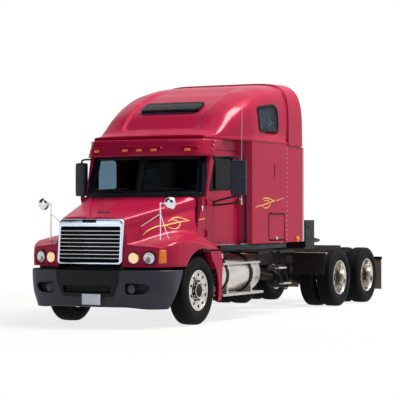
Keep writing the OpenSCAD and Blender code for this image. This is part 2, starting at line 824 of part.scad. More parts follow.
roof_stations = [-560, -640, -740, -860, -1000, -1190, -1330, -1470, -1680, -1900, -2120, -2340, -2600,
    back_wall_x];
side_window = rounded([[-1985, 2945], [-1945, 3300], [-2560, 3375], [-2660, 3300], [-2680, 2985], [-2640,
    2960]], 60);
skylight = rounded([[-1215, -500], [-1215, 500], [-1450, 505], [-1450, -505]], 50);

module roof_cap() {
    color("#8c1d38") at_axle() {
        difference() {
            sheet([for (x = roof_stations) roof_row(x)], 22);
            for (s = sides) {
                side_slab(side_window, s * 900, s * 1400);
            }
            translate([0, 0, 3000]) linear_extrude(height = 700) polygon(skylight);
        }
    }
}

hoop_lean = 130;
function hoop_x(v, a) = back_wall_x - 0.5 - v * (extender_len - hoop_lean * sin(a));
function hoop_row(v) = let (x = hoop_x(v, 0)) concat(
    [[x, roof_base(x), roof_seam - 12]],
    [for (a = roof_sweep) roof_point(hoop_x(v, a), a, 0)],
    [[x, -roof_base(x), roof_seam - 12]]);

module side_extenders() {
    color("#7d1931") at_axle() {
        sheet([for (v = [0 : 0.25 : 1]) hoop_row(v)], 22);
        for (s = sides) {
            box([back_wall_x - 0.5, s * (sleeper_half - 4), cab_floor + 10],
                [back_wall_x - extender_len - 40, s * (sleeper_half - 30), roof_seam - 20]);
            box([back_wall_x - extender_len - 39, s * (sleeper_half + 2), cab_floor + 14],
                [back_wall_x - extender_len - 100, s * (sleeper_half - 34), roof_seam - 30]);
        }
    }
}

// Sun visor: a leaning band carried round the windscreen, with wings over the doors
visor_section = [[0, -262], [-320, -262], [-320, -6], [-96, -6]];

module visor_link(s) {
    translate([0, 0, roof_seam - 262])
        linear_extrude(height = 150)
            polygon([[-440, s * 990], [-462, s * 1022], [-486, s * 1060], [-545, s * 1066],
                [-570, s * 1066], [-570, s * 990]]);
}

module visor() {
    color("#8c1d38") at_axle() {
        difference() {
            intersection() {
                union() {
                    swept_band(visor_nose, roof_seam, visor_r, visor_a, visor_corner, 66, 30,
                        visor_section);
                    for (s = sides) {
                        visor_link(s);
                        side_slab([[-600, roof_seam - 262], [-540, roof_seam - 262], [-600, roof_seam - 6],
                            [-980, roof_seam - 6], [-960, roof_seam - 40], [-720, roof_seam - 160],
                            [-660, roof_seam - 162], [-630, roof_seam - 200]],
                            s * (cab_half + 0.3), s * (cab_half + 22));
                    }
                }
                box([-1200, -cab_half - 22, roof_seam - 400], [0, cab_half + 22, roof_seam + 100]);
            }
            translate([windshield_axis, 0, 2400])
                cylinder(r1 = windshield_radius(2400) + 0.4, r2 = windshield_radius(2800) + 0.4, h = 400,
                    $fn = 180);
            side_slab([[-472, roof_seam - 300], [-556, roof_seam + 1], [-1300, roof_seam + 1],
                [-1300, roof_seam - 300]],
                -cab_half - 0.3, cab_half + 0.3);
        }
        for (s = sides) {
            box([-430, s * 700, roof_seam - 30], [-330, s * 760, roof_seam - 8]);
        }
    }
}

// Fixed glass: two windscreen panes, the skylight and two sleeper windows
module pane() {
    intersection() {
        translate([windshield_axis, 0, 0])
            rotate([0, 0, 0])
                rotate_extrude(angle = 23, $fn = 180)
                    polygon([[windshield_radius(1962) - 30, 1962], [windshield_radius(1962) - 22, 1962],
                        [windshield_radius(2466) - 22, 2466], [windshield_radius(2466) - 30, 2466]]);
        front_slab(rounded([[34.3, 1962.3], [899.6, 1962.3], [879.6, 2465.7], [34.3, 2465.7]], 45), -900,
            0);
    }
}

module fixed_glass() {
    color("#2a3444") at_axle() {
        pane();
        mirror([0, 1, 0]) pane();
        intersection() {
            sheet([for (x = roof_stations) [for (p = roof_row(x)) [p[0], p[1] * 0.9955,
                roof_seam + (p[2] - roof_seam) * 0.9955]]], 9);
            union() {
                for (s = sides) {
                    side_slab(grown(side_window, [-2300, 3150], -0.4), s * 850, s * 1400);
                }
                translate([0, 0, 3000]) linear_extrude(height = 700) polygon(grown(skylight, [-1330, 0],
                    -0.4));
            }
        }
    }
}

// Inside: dashboard with the steering column, and two seats
wheel_x = -820;
wheel_y = 480;
wheel_z = 1830;
column_a = 34;

module dashboard() {
    color("#3b3d40") at_axle() {
        difference() {
            side_slab([[-330, cab_floor + 60.2], [-330, 1880], [-480, 1900], [-640, 1850], [-660, 1720],
                [-560, 1640], [-520, cab_floor + 60.2]], -940, 940);
            difference() {
                box([-100, -1100, 1000], [-1000, 1100, 2100]);
                translate([windshield_axis, 0, 900])
                    cylinder(r = windshield_radius(2000) - wall - 3, h = 1300, $fn = 180);
            }
        }
        translate([wheel_x, wheel_y, wheel_z]) rotate([0, 90 + column_a, 0]) translate([0, 0,
            12]) cylinder(r = 30, h = 210);
        translate([wheel_x, wheel_y, wheel_z]) rotate([0, 90 + column_a, 0]) translate([0, 0,
            -40]) cylinder(r = 10, h = 60);
    }
}

module seat(y) {
    box([-1130, y - 170, cab_floor + 60.2], [-1440, y + 170, cab_floor + 260]);
    side_slab(rounded([[-1000, cab_floor + 259], [-1000, cab_floor + 380], [-1500, cab_floor + 350],
        [-1520, cab_floor + 259]], 40), y - 260, y + 260);
    side_slab(rounded([[-1380, cab_floor + 340], [-1430, cab_floor + 980], [-1530, cab_floor + 990],
        [-1500, cab_floor + 340]], 40), y - 250, y + 250);
    side_slab(rounded([[-1440, cab_floor + 970], [-1452, cab_floor + 1190], [-1530, cab_floor + 1190],
        [-1525, cab_floor + 970]], 30), y - 140, y + 140);
}

module seats() {
    color("#4a4c50") at_axle() {
        seat(wheel_y);
        seat(-wheel_y);
    }
}

module steering_wheel() {
    color("#1a1b1d") at_axle()
        translate([wheel_x, wheel_y, wheel_z]) rotate([0, 90 + column_a, 0]) {
            rotate_extrude() translate([220, 0]) circle(r = 15, $fn = 20);
            difference() {
                translate([0, 0, -22]) cylinder(r = 55, h = 33);
                translate([0, 0, -60]) cylinder(r = 10 + running_gap, h = 120);
            }
            for (a = [90, 210, 330]) {
                rotate([0, 0, a]) box([50, -16, -8], [212, 16, 6]);
            }
        }
}

// Fixed panels behind the front wheels
module quarter_panels() {
    color("#8c1d38") at_axle() {
        for (s = sides) {
            difference() {
                side_slab([[-300, 1040], [-300, 1068], [-650, 1068], [-700, 860], [-650, 330], [-520,
                    330], [-520, 700]], s * 1105, s * 1200);
                translate([0, s * 1100 - 300, axle_z]) rod_y(570, 600);
                side_slab([[-480, 1055], [-620, 1055], [-670, 860], [-635, 345], [-500, 345]], s * 1090,
                    s * 1185);
            }
            box([-575, s * (cab_half - 160), 1040], [-625, s * 1187, 1054]);
            box([-575, s * (cab_half - 160), 1040], [-625, s * (cab_half - 120), cab_floor - 0.2]);
        }
    }
}

// Hood: one shell of nose, shoulders, sides and fenders, carried over the front face to the grille
hood_ledge = [[-552, 1160], [-120, 1345], [200, 1380], [500, 1330], [950, 1214], [1050, 1185]];
fender_plan = [[-552, 1200], [0, 1215], [500, 1212], [700, 1198], [800, 1178], [900, 1132], [960, 1082],
    [1010, 1018]];
fender_line = [[-552, 1138], [-300, 1185], [0, 1235], [400, 1262], [670, 1250], [900, 1185], [1010, 1130]];
hood_low = 872;
arch_low = 1098;
hood_columns = 18;

function hood_point(c, x) =
    let (t = clamp01((hood_nose - x) / (hood_nose - (c <= 10 ? hood_back(c) : hood_rear))),
         ys = mix(nose_half, 955, t), zs = mix(nose_z, cowl_z, t),
         yc = mix(70, 800, t), zc = mix(1446, 1725, t),
         yl = mix(600, 1078, t), zl = lookup(x, hood_ledge),
         yf = lookup(x, fender_plan), zf = lookup(x, fender_line),
         zb = x > 150 ? hood_low : arch_low)
    c == 0 ? [x, 0, zs + 24] :
    c == 1 ? [x, yc * 0.5, zs + 22] :
    c == 2 ? [x, yc - 22, zs + 18] :
    c == 3 ? [x, yc + 20, zs + 34] :
    c == 4 ? [x, mix(yc, ys, 0.62), zs + 26] :
    c == 5 ? [x, ys - 38, zs + 10] :
    c == 6 ? [x, ys - 11, zs - 12] :
    c == 7 ? [x, ys, zs - 48] :
    c == 8 ? [x, ys + 10, zc + 12] :
    c == 9 ? [x, ys + 1, zc - 14] :
    c == 10 ? [x, mix(ys, yl, 0.6), mix(zc, zl, 0.6)] :
    c == 11 ? [x, yl - 4, zl + 26] :
    c == 12 ? [x, yl + 24, zl - 4] :
    c == 13 ? [x, mix(yl, yf, 0.6), mix(zl, zf, 0.62) + 8] :
    c == 14 ? [x, yf - 46, zf + 4] :
    c == 15 ? [x, yf - 14, zf - 15] :
    c == 16 ? [x, yf, zf - 48] :
    c == 17 ? [x, yf + 4, max(zb + 12, mix(zf - 48, zb, 0.5))] : [x, yf + 4, zb];

cowl_back = [[0, 0], [1, -20], [2, -95], [3, -115], [4, -150], [5, -178], [6, -185], [7, -188], [8, -170],
    [9, -152], [10, -10], [11, -20], [12, -180]];
function hood_back(c) = c <= 12 ? hood_rear + lookup(c, cowl_back) : tail_x;
grille_half = grille_w / 2 - 12;
grille_top = face_z + grille_h - 14;
function grille_edge(c) =
    c <= 4 ? [hood_front_edge(c)[0] * 0.95, grille_top] :
    c == 5 ? [grille_half - 40, grille_top - 2] :
    c == 6 ? [grille_half - 12, grille_top - 12] :
    c == 7 ? [grille_half, grille_top - 40] :
    [grille_half, mix(grille_top - 40, hood_low, (c - 7) / (hood_columns - 7))];
function hood_front_edge(c) = let (p = hood_point(c, c < 12 ? 1040 : 990)) [p[1], p[2]];
function face_point(c, d, inset) =
    let (p = hood_front_edge(c), g = grille_edge(c), q = p + unit(g - p) * min(d, norm(g - p) * 0.45))
    [front_face(q[0], q[1]) - inset, q[0], q[1]];
function face_mix(c, t) =
    let (p = hood_front_edge(c), g = grille_edge(c), q = mix(p, g, t))
    [front_face(q[0], q[1]), q[0], q[1]];
function hood_end(c) = let (p = hood_front_edge(c)) front_face(p[0], p[1]) - 42;
function hood_half_row(v) = [for (c = [0 : hood_columns])
    v <= 1 ? hood_point(c, mix(hood_back(c), hood_end(c), v)) :
    v == 2 ? face_point(c, 10, 12) :
    v == 3 ? face_point(c, 34, 0) :
    face_mix(c, v - 3)];
function hood_row(v) = let (h = hood_half_row(v))
    concat([for (c = [hood_columns : -1 : 1]) h[c]], [for (p = h) [p[0], -p[1], p[2]]]);
hood_rows = [0, 0.12, 0.26, 0.4, 0.55, 0.7, 0.84, 0.94, 1, 2, 3, 3.7, 4];

module hood_arm(s) {
    difference() {
        union() {
            translate([pivot_x, s * 582 - 11, pivot_z]) rod_y(18, 22);
            side_slab([[pivot_x - 4, pivot_z - 17], [pivot_x - 17, pivot_z + 4], [1125, 905], [1085,
                960], [1060, 960], [1060, 910]], s * 582 - 11, s * 582 + 11);
        }
        translate([pivot_x, s * 582 - 50, pivot_z]) rod_y(hinge_pin_r + running_gap, 100);
        side_slab([[front_face(582, 876) - 6, 876], [front_face(582, 1000) - 6, 1000], [1400, 1000],
            [1400, 876]], s * 540, s * 625);
    }
}

module hood_skin() {
    sheet([for (v = hood_rows) hood_row(v)], hood_t);
}

module hood() {
    color("#8c1d38") at_axle() {
        difference() {
            hood_skin();
            translate([0, -1500, axle_z]) rod_y(arch_r, 3000);
            for (s = sides) {
                translate([900, s * 690, 1000]) rod_x(lamp_in_d / 2 + 0.25, 400);
                translate([850, s * 905, 1000]) rod_x(lamp_out_d / 2 + 0.25, 400);
            }
            corner_marker(0);
            mirror([0, 1, 0]) corner_marker(0);
        }
        for (s = sides) {
            hood_arm(s);
        }
    }
}

// Grille: curved chrome surround with level bars, all drawn on the raked arc of the front face
module face_arc(half, z0, z1, d0, d1) {
    a = asin(half / face_r);
    translate([face_x, 0, face_z])
        rotate([0, -face_rake, 0])
            translate([-face_r, 0, 0])
                rotate([0, 0, -a])
                    rotate_extrude(angle = 2 * a, $fn = 240)
                        translate([face_r - d1, z0]) square([d1 - d0, z1 - z0]);
}

module grille() {
    pitch = (grille_h - 140) / (grille_bars + 1);
    color("#c9ccd0") at_axle() {
        difference() {
            union() {
                intersection() {
                    face_arc(grille_w / 2, 0, grille_h, -16, -0.45);
                    front_slab(rounded([[-grille_w / 2, face_z - 200], [grille_w / 2, face_z - 200],
                        [grille_w / 2, face_z + grille_h - 4], 
                        [-grille_w / 2, face_z + grille_h - 4]], 46), 800, 1400);
                }
                face_arc(grille_w / 2 - 27, 20, grille_h - 36, -2, 34);
            }
            face_arc(grille_w / 2 - 44, 46, grille_h - 92, -60, 80);
        }
        for (k = [1 : grille_bars]) {
            face_arc(grille_w / 2 - 40, 48 + k * pitch - 9, 48 + k * pitch + 9, -4, 24);
        }
    }
}

module round_lamp(x, y, d) {
    translate([x, y, 1000])
        rotate([0, 90, 0])
            rotate_extrude()
                polygon([[0, -70], [d * 0.3, -70], [d * 0.46, -20], [d / 2, -16], [d / 2, 0], [d * 0.4,
                    12], [d * 0.22, 20], [0, 23]]);
}

module corner_marker(gap) {
    translate([968, 1082, 1025])
        rotate([0, 0, 48])
            translate([-52, -62 - gap, -95 - gap]) cube([62, 124 + 2 * gap, 190 + 2 * gap]);
}

module hood_lamps() {
    color("#d8dade") at_axle() {
        for (s = sides) {
            round_lamp(1092, s * 690, lamp_in_d);
            round_lamp(1030, s * 905, lamp_out_d);
        }
        intersection() {
            hood_skin();
            union() {
                corner_marker(-0.4);
                mirror([0, 1, 0]) corner_marker(-0.4);
            }
        }
    }
}

// Convex mirrors on tripods that stand on the fenders
module hood_mirror() {
    top = [750, 926, 1627];
    head = [742, 1067, 1772];
    bar([750, 926, 1246], top, 9);
    bar([648, 1001.5, 1262.7], top, 8);
    bar([813.4, 649, 1448.6], top, 8);
    bar(top, top + [0, 0, 145], 9);
    bar(top + [0, 0, 145], head, 8);
    translate(top) sphere(r = 15, $fn = 24);
    translate(top + [0, 0, 145]) sphere(r = 13, $fn = 24);
    translate(head - [24, 0, 0])
        rotate([0, 90, 0])
            rotate_extrude() polygon([[0, 0], [88, 0], [94, 8], [84, 30], [56, 52], [0, 64]]);
}

module hood_mirrors() {
    color("#c9ccd0") at_axle() {
        difference() {
            union() {
                hood_mirror();
                mirror([0, 1, 0]) hood_mirror();
            }
            hood_skin();
        }
    }
}

// Doors hang on their front edge; mirrors ride on them
mirror_x = -862;
mirror_y = 1385;

module door() {
    difference() {
        union() {
            difference() {
                side_slab(door_outline, cab_half - 1, cab_half - wall + 1);
                side_slab(window_outline, cab_half - 200, cab_half + 200);
                side_slab([[-470, 1240], [-1514, 1240], [-1514, 1900], [-470, 1860]],
                    cab_half - wall - 1, cab_half - wall + 8);
            }
            for (z = hinge_z) {
                translate([hinge_x, hinge_y, z]) cylinder(r = 11, h = 70);
                box([hinge_x, cab_half - 20, z], [hinge_x - 60, hinge_y + 9, z + 70]);
            }
            box([-1420, cab_half - 2, 1780], [-1500, cab_half + 26, 1815]);
        }
        translate([hinge_x, hinge_y, 1000]) cylinder(r = hinge_rod_r + running_gap, h = 1200);
    }
}

module door_pane() {
    difference() {
        side_slab(grown(window_outline, [-1000, 2250], -0.4), cab_half - 30, cab_half - 22);
        box([-752, cab_half - 50, 1900], [-788, cab_half, 2600]);
    }
}

module door_mirror() {
    translate([mirror_x, mirror_y, 0])
        rotate([0, 0, 20])
            side_slab(rounded([[48, 1900], [44, 2440], [-40, 2440], [-44, 1900]], 30), -118, 118);
    for (z = [1755, 2475]) {
        bar([-704, cab_half + 6, z], [mirror_x, mirror_y, z], 13);
        bar([mirror_x, mirror_y, z], [mirror_x, mirror_y, z > 2000 ? 2430 : 1910], 13);
        translate([-700, cab_half - 0.7, z]) rod_y(30, 14);
        translate([mirror_x, mirror_y, z]) sphere(r = 15, $fn = 24);
    }
}

module door_left() {
    color("#8c1d38") at_axle() door();
}

module door_right() {
    color("#8c1d38") at_axle() mirror([0, 1, 0]) door();
}

module door_glass_left() {
    color("#2a3444") at_axle() door_pane();
}

module door_glass_right() {
    color("#2a3444") at_axle() mirror([0, 1, 0]) door_pane();
}

module door_mirror_left() {
    color("#2f323c") at_axle() door_mirror();
}

module door_mirror_right() {
    color("#2f323c") at_axle() mirror([0, 1, 0]) door_mirror();
}

// Luggage doors hang from their top edge
lid_y = sleeper_half + 12;
lid_z = cab_floor + 489;

module lid_knuckles(first, rise) {
    for (k = [first : 2 : 6]) {
        x = -2380 - k * 70;
        translate([x - 66, lid_y, lid_z]) rod_x(6.5, 66);
        box([x, sleeper_half - 2, lid_z + rise], [x - 66, lid_y + 2, lid_z + rise + 5]);
    }
}

module luggage_door() {
    difference() {
        union() {
            side_slab(luggage_outline, sleeper_half - 1, sleeper_half - wall + 1);
            lid_knuckles(1, -9);
        }
        translate([-3000, lid_y, lid_z]) rod_x(3 + running_gap, 800);
    }
    box([-2590, sleeper_half - 2, cab_floor + 62], [-2650, sleeper_half + 8, cab_floor + 100]);
}

module luggage_door_left() {
    color("#8c1d38") at_axle() luggage_door();
}

module luggage_door_right() {
    color("#8c1d38") at_axle() mirror([0, 1, 0]) luggage_door();
}

// Steering knuckles, tie rod
knuckle_y = beam_end;
spindle_end = front_track / 2 + 70;

module knuckle() {
    difference() {
        union() {
            translate([0, knuckle_y, axle_z - 135]) cylinder(r = 50, h = 58);
            translate([0, knuckle_y, axle_z + 57]) cylinder(r = 50, h = 60);
            box([-50, knuckle_y, axle_z - 135], [50, knuckle_y + 85, axle_z - 77.3]);
            box([-50, knuckle_y, axle_z + 57.3], [50, knuckle_y + 85, axle_z + 117]);
            box([-60, knuckle_y + 60, axle_z - 135], [60, knuckle_y + 88, axle_z + 117]);
            box([-steer_arm - 25, knuckle_y - 25, axle_z - 135], [0, knuckle_y + 25, axle_z - 105]);
            translate([-steer_arm, knuckle_y, axle_z - 135]) cylinder(r = 34, h = 30);
            translate([0, knuckle_y + 70, axle_z]) rod_y(spindle_r, spindle_end - knuckle_y - 70);
        }
        translate([0, knuckle_y, axle_z - 200]) cylinder(r = kingpin_r + running_gap, h = 400);
        translate([-steer_arm, knuckle_y, axle_z - 200]) cylinder(r = 12 + running_gap, h = 200);
    }
}

module knuckle_left() {
    color("#2b2c2e") at_axle() knuckle();
}

module knuckle_right() {
    color("#2b2c2e") at_axle() mirror([0, 1, 0]) knuckle();
}

module tie_rod() {
    color("#2b2c2e") at_axle() {
        for (s = sides) {
            translate([-steer_arm, s * knuckle_y, axle_z - 172]) cylinder(r = 12, h = 68);
            translate([-steer_arm, s * knuckle_y, axle_z - 172]) cylinder(r = 28, h = 36);
        }
        translate([-steer_arm, -knuckle_y, axle_z - 154]) rod_y(16, 2 * knuckle_y);
    }
}

// Wheels: revolved tyres, dished discs with hand holes and lug nuts
module tyre() {
    h = tyre_w / 2;
    rotate([-90, 0, 0])
        rotate_extrude($fn = 72)
            polygon([[rim_r - 14, -h * 0.62], [rim_r + 22, -h * 0.84], [rim_r + 90, -h], [tyre_r - 70,
                -h * 0.96], [tyre_r - 22, -h * 0.84],
                [tyre_r - 4, -h * 0.72], [tyre_r, -h * 0.5], [tyre_r, h * 0.5], [tyre_r - 4, h * 0.72],
                    [tyre_r - 22, h * 0.84],
                [tyre_r - 70, h * 0.96], [rim_r + 90, h], [rim_r + 22, h * 0.84], [rim_r - 14, h * 0.62]]);
}

module rim_barrel() {
    h = tyre_w / 2;
    rotate([-90, 0, 0])
        rotate_extrude($fn = 72)
            polygon([[rim_r - 16, -h * 0.86], [rim_r, -h * 0.86], [rim_r - 14.4, -h * 0.64],
                [rim_r - 14.4, h * 0.64], [rim_r, h * 0.86],
                [rim_r - 16, h * 0.86], [rim_r - 30, h * 0.6], [rim_r - 30, -h * 0.6]]);
}

module disc(y, dish, hub_r, hub_len) {
    difference() {
        union() {
            translate([0, y, 0])
                rotate([-90, 0, 0])
                    rotate_extrude($fn = 72)
                        polygon([[60, -12], [175, -12], [220, dish * 0.34 - 11], [rim_r - 29, dish - 11],
                            [rim_r - 29, dish + 11],
                            [228, dish * 0.34 + 12], [180, 12], [60, 12]]);
            translate([0, y - 11, 0]) rod_y(hub_r, hub_len);
            for (k = [0 : stud_count - 1]) {
                rotate([0, k * 360 / stud_count, 0])
                    translate([stud_circle / 2, y + 11, 0]) rod_y(lug_d / 2, 36);
            }
        }
        for (k = [0 : stud_count - 1]) {
            rotate([0, (k + 0.5) * 360 / stud_count, 0])
                translate([205, y - 80, 0]) rod_y(27, 160);
        }
    }
}

module front_rim() {
    difference() {
        union() {
            rim_barrel();
            disc(74, -50, 108, 70);
            translate([0, -50, 0]) rod_y(70, 120);
            translate([0, -52, 0]) rod_y(205, 20);
            difference() {
                translate([0, -52, 0]) rod_y(205, 80);
                translate([0, -36, 0]) rod_y(190, 90);
            }
        }
        translate([0, -100, 0]) rod_y(spindle_r + running_gap, 171);
    }
}

module front_wheel_at() {
    translate([0, front_track / 2, axle_z]) children();
}

module dual_tyres() {
    for (d = [-1, 1]) {
        translate([0, d * dual_spacing / 2, 0]) tyre();
    }
}

module dual_rims() {
    difference() {
        union() {
            for (d = [-1, 1]) {
                translate([0, d * dual_spacing / 2, 0]) rim_barrel();
            }
            disc(13, 62, 112, 150);
            rotate([-90, 0, 0]) rotate_extrude($fn = 72)
                polygon([[60, 1.2], [175, 1.2], [220, -10], [rim_r - 29, -64], [rim_r - 29, -86], [214,
                    -36], [175, -24], [60, -24]]);
            translate([0, -150, 0]) rod_y(78, 160);
            difference() {
                translate([0, -185, 0]) rod_y(205, 180);
                translate([0, -170, 0]) rod_y(190, 140);
                translate([0, -200, 0]) rod_y(90, 30);
            }
        }
        translate([0, -300, 0]) rod_y(spindle_r + running_gap, 300 + 161 + 2);
    }
}

module dual_at(k) {
    translate([drive_x[k], rear_track / 2, axle_z]) children();
}

module front_tyre_left() {
    color("#151516") at_axle() front_wheel_at() tyre();
}

module front_rim_left() {
    color("#c4c7cb") at_axle() front_wheel_at() front_rim();
}

module front_tyre_right() {
    color("#151516") at_axle() mirror([0, 1, 0]) front_wheel_at() tyre();
}

module front_rim_right() {
    color("#c4c7cb") at_axle() mirror([0, 1, 0]) front_wheel_at() front_rim();
}

module drive_tyres_1_left() {
    color("#151516") at_axle() dual_at(0) dual_tyres();
}

module drive_rims_1_left() {
    color("#c4c7cb") at_axle() dual_at(0) dual_rims();
}

module drive_tyres_1_right() {
    color("#151516") at_axle() mirror([0, 1, 0]) dual_at(0) dual_tyres();
}

module drive_rims_1_right() {
    color("#c4c7cb") at_axle() mirror([0, 1, 0]) dual_at(0) dual_rims();
}

module drive_tyres_2_left() {
    color("#151516") at_axle() dual_at(1) dual_tyres();
}

module drive_rims_2_left() {
    color("#c4c7cb") at_axle() dual_at(1) dual_rims();
}

module drive_tyres_2_right() {
    color("#151516") at_axle() mirror([0, 1, 0]) dual_at(1) dual_tyres();
}

module drive_rims_2_right() {
    color("#c4c7cb") at_axle() mirror([0, 1, 0]) dual_at(1) dual_rims();
}

frame();
powertrain();
front_axle();
drive_axles();
rear_suspension();
radiator();
bumper();
bumper_insert();
fuel_tanks();
tank_steps();
deck_plate();
deck_ladder();
mud_flaps();
chassis_lamps();
coupling_base();
hookup_box();
cab_shell();
sleeper_shell();
roof_cap();
visor();
side_extenders();
fixed_glass();
dashboard();
seats();
quarter_panels();
hood();
grille();
hood_lamps();
hood_mirrors();
door_left();
door_glass_left();
door_mirror_left();
door_right();
door_glass_right();
door_mirror_right();
luggage_door_left();
luggage_door_right();
knuckle_left();
knuckle_right();
tie_rod();
steering_wheel();
front_tyre_left();
front_rim_left();
front_tyre_right();
front_rim_right();
drive_tyres_1_left();
drive_rims_1_left();
drive_tyres_1_right();
drive_rims_1_right();
drive_tyres_2_left();
drive_rims_2_left();
drive_tyres_2_right();
drive_rims_2_right();
coupling_plate();
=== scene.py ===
import json
import math

import bmesh
import bpy
import numpy as np
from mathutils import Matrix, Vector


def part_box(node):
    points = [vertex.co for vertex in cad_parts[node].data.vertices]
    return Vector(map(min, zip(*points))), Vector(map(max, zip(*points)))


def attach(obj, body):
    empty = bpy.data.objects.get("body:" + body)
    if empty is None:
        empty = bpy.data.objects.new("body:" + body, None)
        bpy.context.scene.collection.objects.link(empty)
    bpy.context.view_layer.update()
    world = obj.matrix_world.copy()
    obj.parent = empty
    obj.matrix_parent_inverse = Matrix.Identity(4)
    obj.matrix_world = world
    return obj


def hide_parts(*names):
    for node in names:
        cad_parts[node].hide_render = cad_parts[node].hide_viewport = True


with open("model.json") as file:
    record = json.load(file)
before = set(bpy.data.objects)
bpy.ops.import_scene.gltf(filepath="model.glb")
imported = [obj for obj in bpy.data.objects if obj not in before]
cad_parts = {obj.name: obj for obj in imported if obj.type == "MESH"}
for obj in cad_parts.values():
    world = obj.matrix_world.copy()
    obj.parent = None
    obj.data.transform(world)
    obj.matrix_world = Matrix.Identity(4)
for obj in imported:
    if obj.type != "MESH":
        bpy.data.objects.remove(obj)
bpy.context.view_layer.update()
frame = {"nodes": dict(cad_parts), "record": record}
bodyOf = {n: b for b, ns in frame["record"]["behaviour"]["bodies"].items() for n in ns}
axleLow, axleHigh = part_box("front_tyre_left")
axleX = (axleLow[0] + axleHigh[0]) / 2  # every size below is in mm from the front axle
scene = bpy.context.scene
scene.view_settings.view_transform = "Standard"
sides = (("left", 1), ("right", -1))
otherSide = np.array([1, -1, 1])
hubZ = 505  # every wheel's centre above the floor


# colour and node helpers

def hexLinear(code):
    raw = [int(code[i:i + 2], 16) / 255 for i in (1, 3, 5)]
    return tuple(c / 12.92 if c <= 0.04045 else ((c + 0.055) / 1.055) ** 2.4 for c in raw) + (1.0,)


def addNode(tree, kind, inputs=None, **settings):
    node = tree.nodes.new(kind)
    for key, value in settings.items():
        setattr(node, key, value)
    for key, value in (inputs or {}).items():
        if isinstance(value, bpy.types.NodeSocket):
            tree.links.new(value, node.inputs[key])
        else:
            node.inputs[key].default_value = value
    return node


def startMaterial(name, sockets):
    material = bpy.data.materials.new(name)
    material.use_nodes = True
    tree = material.node_tree
    shader = tree.nodes["Principled BSDF"]
    for key, value in sockets.items():
        shader.inputs[key].default_value = value
    return material, tree, shader


# a finish: the colour drifts between two tones in patches, the gloss drifts with it,
# and a finer grain lifts the surface; sizes in mm
def makeFinish(name, tones, patch, gloss, grain, lift, sockets=None, stretch=(1, 1, 1)):
    material, tree, shader = startMaterial(name, sockets or {})
    place = addNode(tree, "ShaderNodeTexCoord")
    turned = addNode(tree, "ShaderNodeMapping", {"Vector": place.outputs["Object"], "Scale": stretch})
    drift = addNode(tree, "ShaderNodeTexNoise", {"Vector": turned.outputs[0], "Scale": 1000 / patch,
                                                "Detail": 4.0, "Roughness": 0.6})
    shade = addNode(tree, "ShaderNodeValToRGB", {"Fac": drift.outputs[0]})
    shade.color_ramp.elements[0].position, shade.color_ramp.elements[1].position = 0.3, 0.7
    shade.color_ramp.elements[0].color = hexLinear(tones[0])
    shade.color_ramp.elements[1].color = hexLinear(tones[1])
    dull = addNode(tree, "ShaderNodeMapRange", {"Value": drift.outputs[0], "From Min": 0.3, "From Max": 0.7,
                                                "To Min": gloss[0], "To Max": gloss[1]})
    fine = addNode(tree, "ShaderNodeTexNoise", {"Vector": turned.outputs[0], "Scale": 1000 / grain,
                                               "Detail": 2.0})
    bump = addNode(tree, "ShaderNodeBump", {"Height": fine.outputs[0], "Distance": lift / 1000,
                                            "Strength": 1.0})
    tree.links.new(shade.outputs[0], shader.inputs["Base Color"])
    tree.links.new(dull.outputs[0], shader.inputs["Roughness"])
    tree.links.new(bump.outputs[0], shader.inputs["Normal"])
    return material


print("finishes")
paint = makeFinish(  # sprayed metallic base under a clear coat: deep red with a wet shine
    "burgundyMetallicPaint", ("#961236", "#9E173D"), 700, (0.36, 0.42), 9, 0.02,
    {"Metallic": 0.1, "Coat Weight": 0.2, "Coat Roughness": 0.1, "Specular IOR Level": 0.03})
chrome = makeFinish(  # plated steel: a mirror with faint polishing haze
    "chromePlatedSteel", ("#D5D8DC", "#E2E4E7"), 160, (0.05, 0.12), 40, 0.02, {"Metallic": 1.0})
grillePlating = makeFinish(  # plated moulding: a softer mirror, its base colour tinted blue as a painted reflection of the sky
    "chromePlatedMoulding", ("#D3DEEE", "#E2E9F3"), 220, (0.2, 0.28), 40, 0.02, {"Metallic": 1.0})
wheelAlloy = makeFinish(  # forged and polished aluminium: bright, with soft road haze
    "polishedForgedAluminium", ("#C3BFB8", "#D8D5CF"), 90, (0.16, 0.3), 14, 0.05, {"Metallic": 1.0})
tankAlloy = makeFinish(  # rolled aluminium sheet polished along its length: streaks run round it
    "polishedRolledAluminium", ("#BDB8B2", "#D6D2CC"), 60, (0.2, 0.34), 12, 0.05, {"Metallic": 1.0},
    stretch=(0.08, 1, 1))
stepAlloy = makeFinish(  # extruded aluminium worn by boots: pale with duller patches
    "wornExtrudedAluminium", ("#A9A8A6", "#CFCECB"), 45, (0.3, 0.5), 8, 0.25, {"Metallic": 1.0})
bumperPlastic = makeFinish(  # moulded dark plastic: fine grain and a dull sheen
    "mouldedBumperPlastic", ("#2E2F39", "#373843"), 260, (0.42, 0.52), 5, 0.12,
    {"Specular IOR Level": 0.22})
blackPlastic = makeFinish(  # moulded black plastic, slightly dusty
    "mouldedBlackPlastic", ("#0E0F11", "#17181B"), 180, (0.4, 0.55), 5, 0.12, {"Specular IOR Level": 0.18})
mirrorShellPlastic = makeFinish(  # moulded blue-grey shell, weathered
    "mouldedMirrorShellPlastic", ("#262A35", "#303440"), 140, (0.38, 0.5), 5, 0.1,
    {"Specular IOR Level": 0.2})
blackSteel = makeFinish(  # painted chassis steel with a film of road dust
    "dustyBlackChassisPaint", ("#111114", "#211E1B"), 240, (0.5, 0.75), 16, 0.3, {"Specular IOR Level": 0.15})
castIron = makeFinish(  # sand-cast iron: rough dark skin
    "sandCastIron", ("#1A1A1B", "#2B2824"), 120, (0.6, 0.8), 7, 0.7,
    {"Metallic": 0.2, "Specular IOR Level": 0.15})
greasySteel = makeFinish(  # machined plate under grease: dark, with wet patches
    "greasedSteelPlate", ("#141414", "#2B2724"), 110, (0.3, 0.6), 12, 0.4, {"Metallic": 0.7})
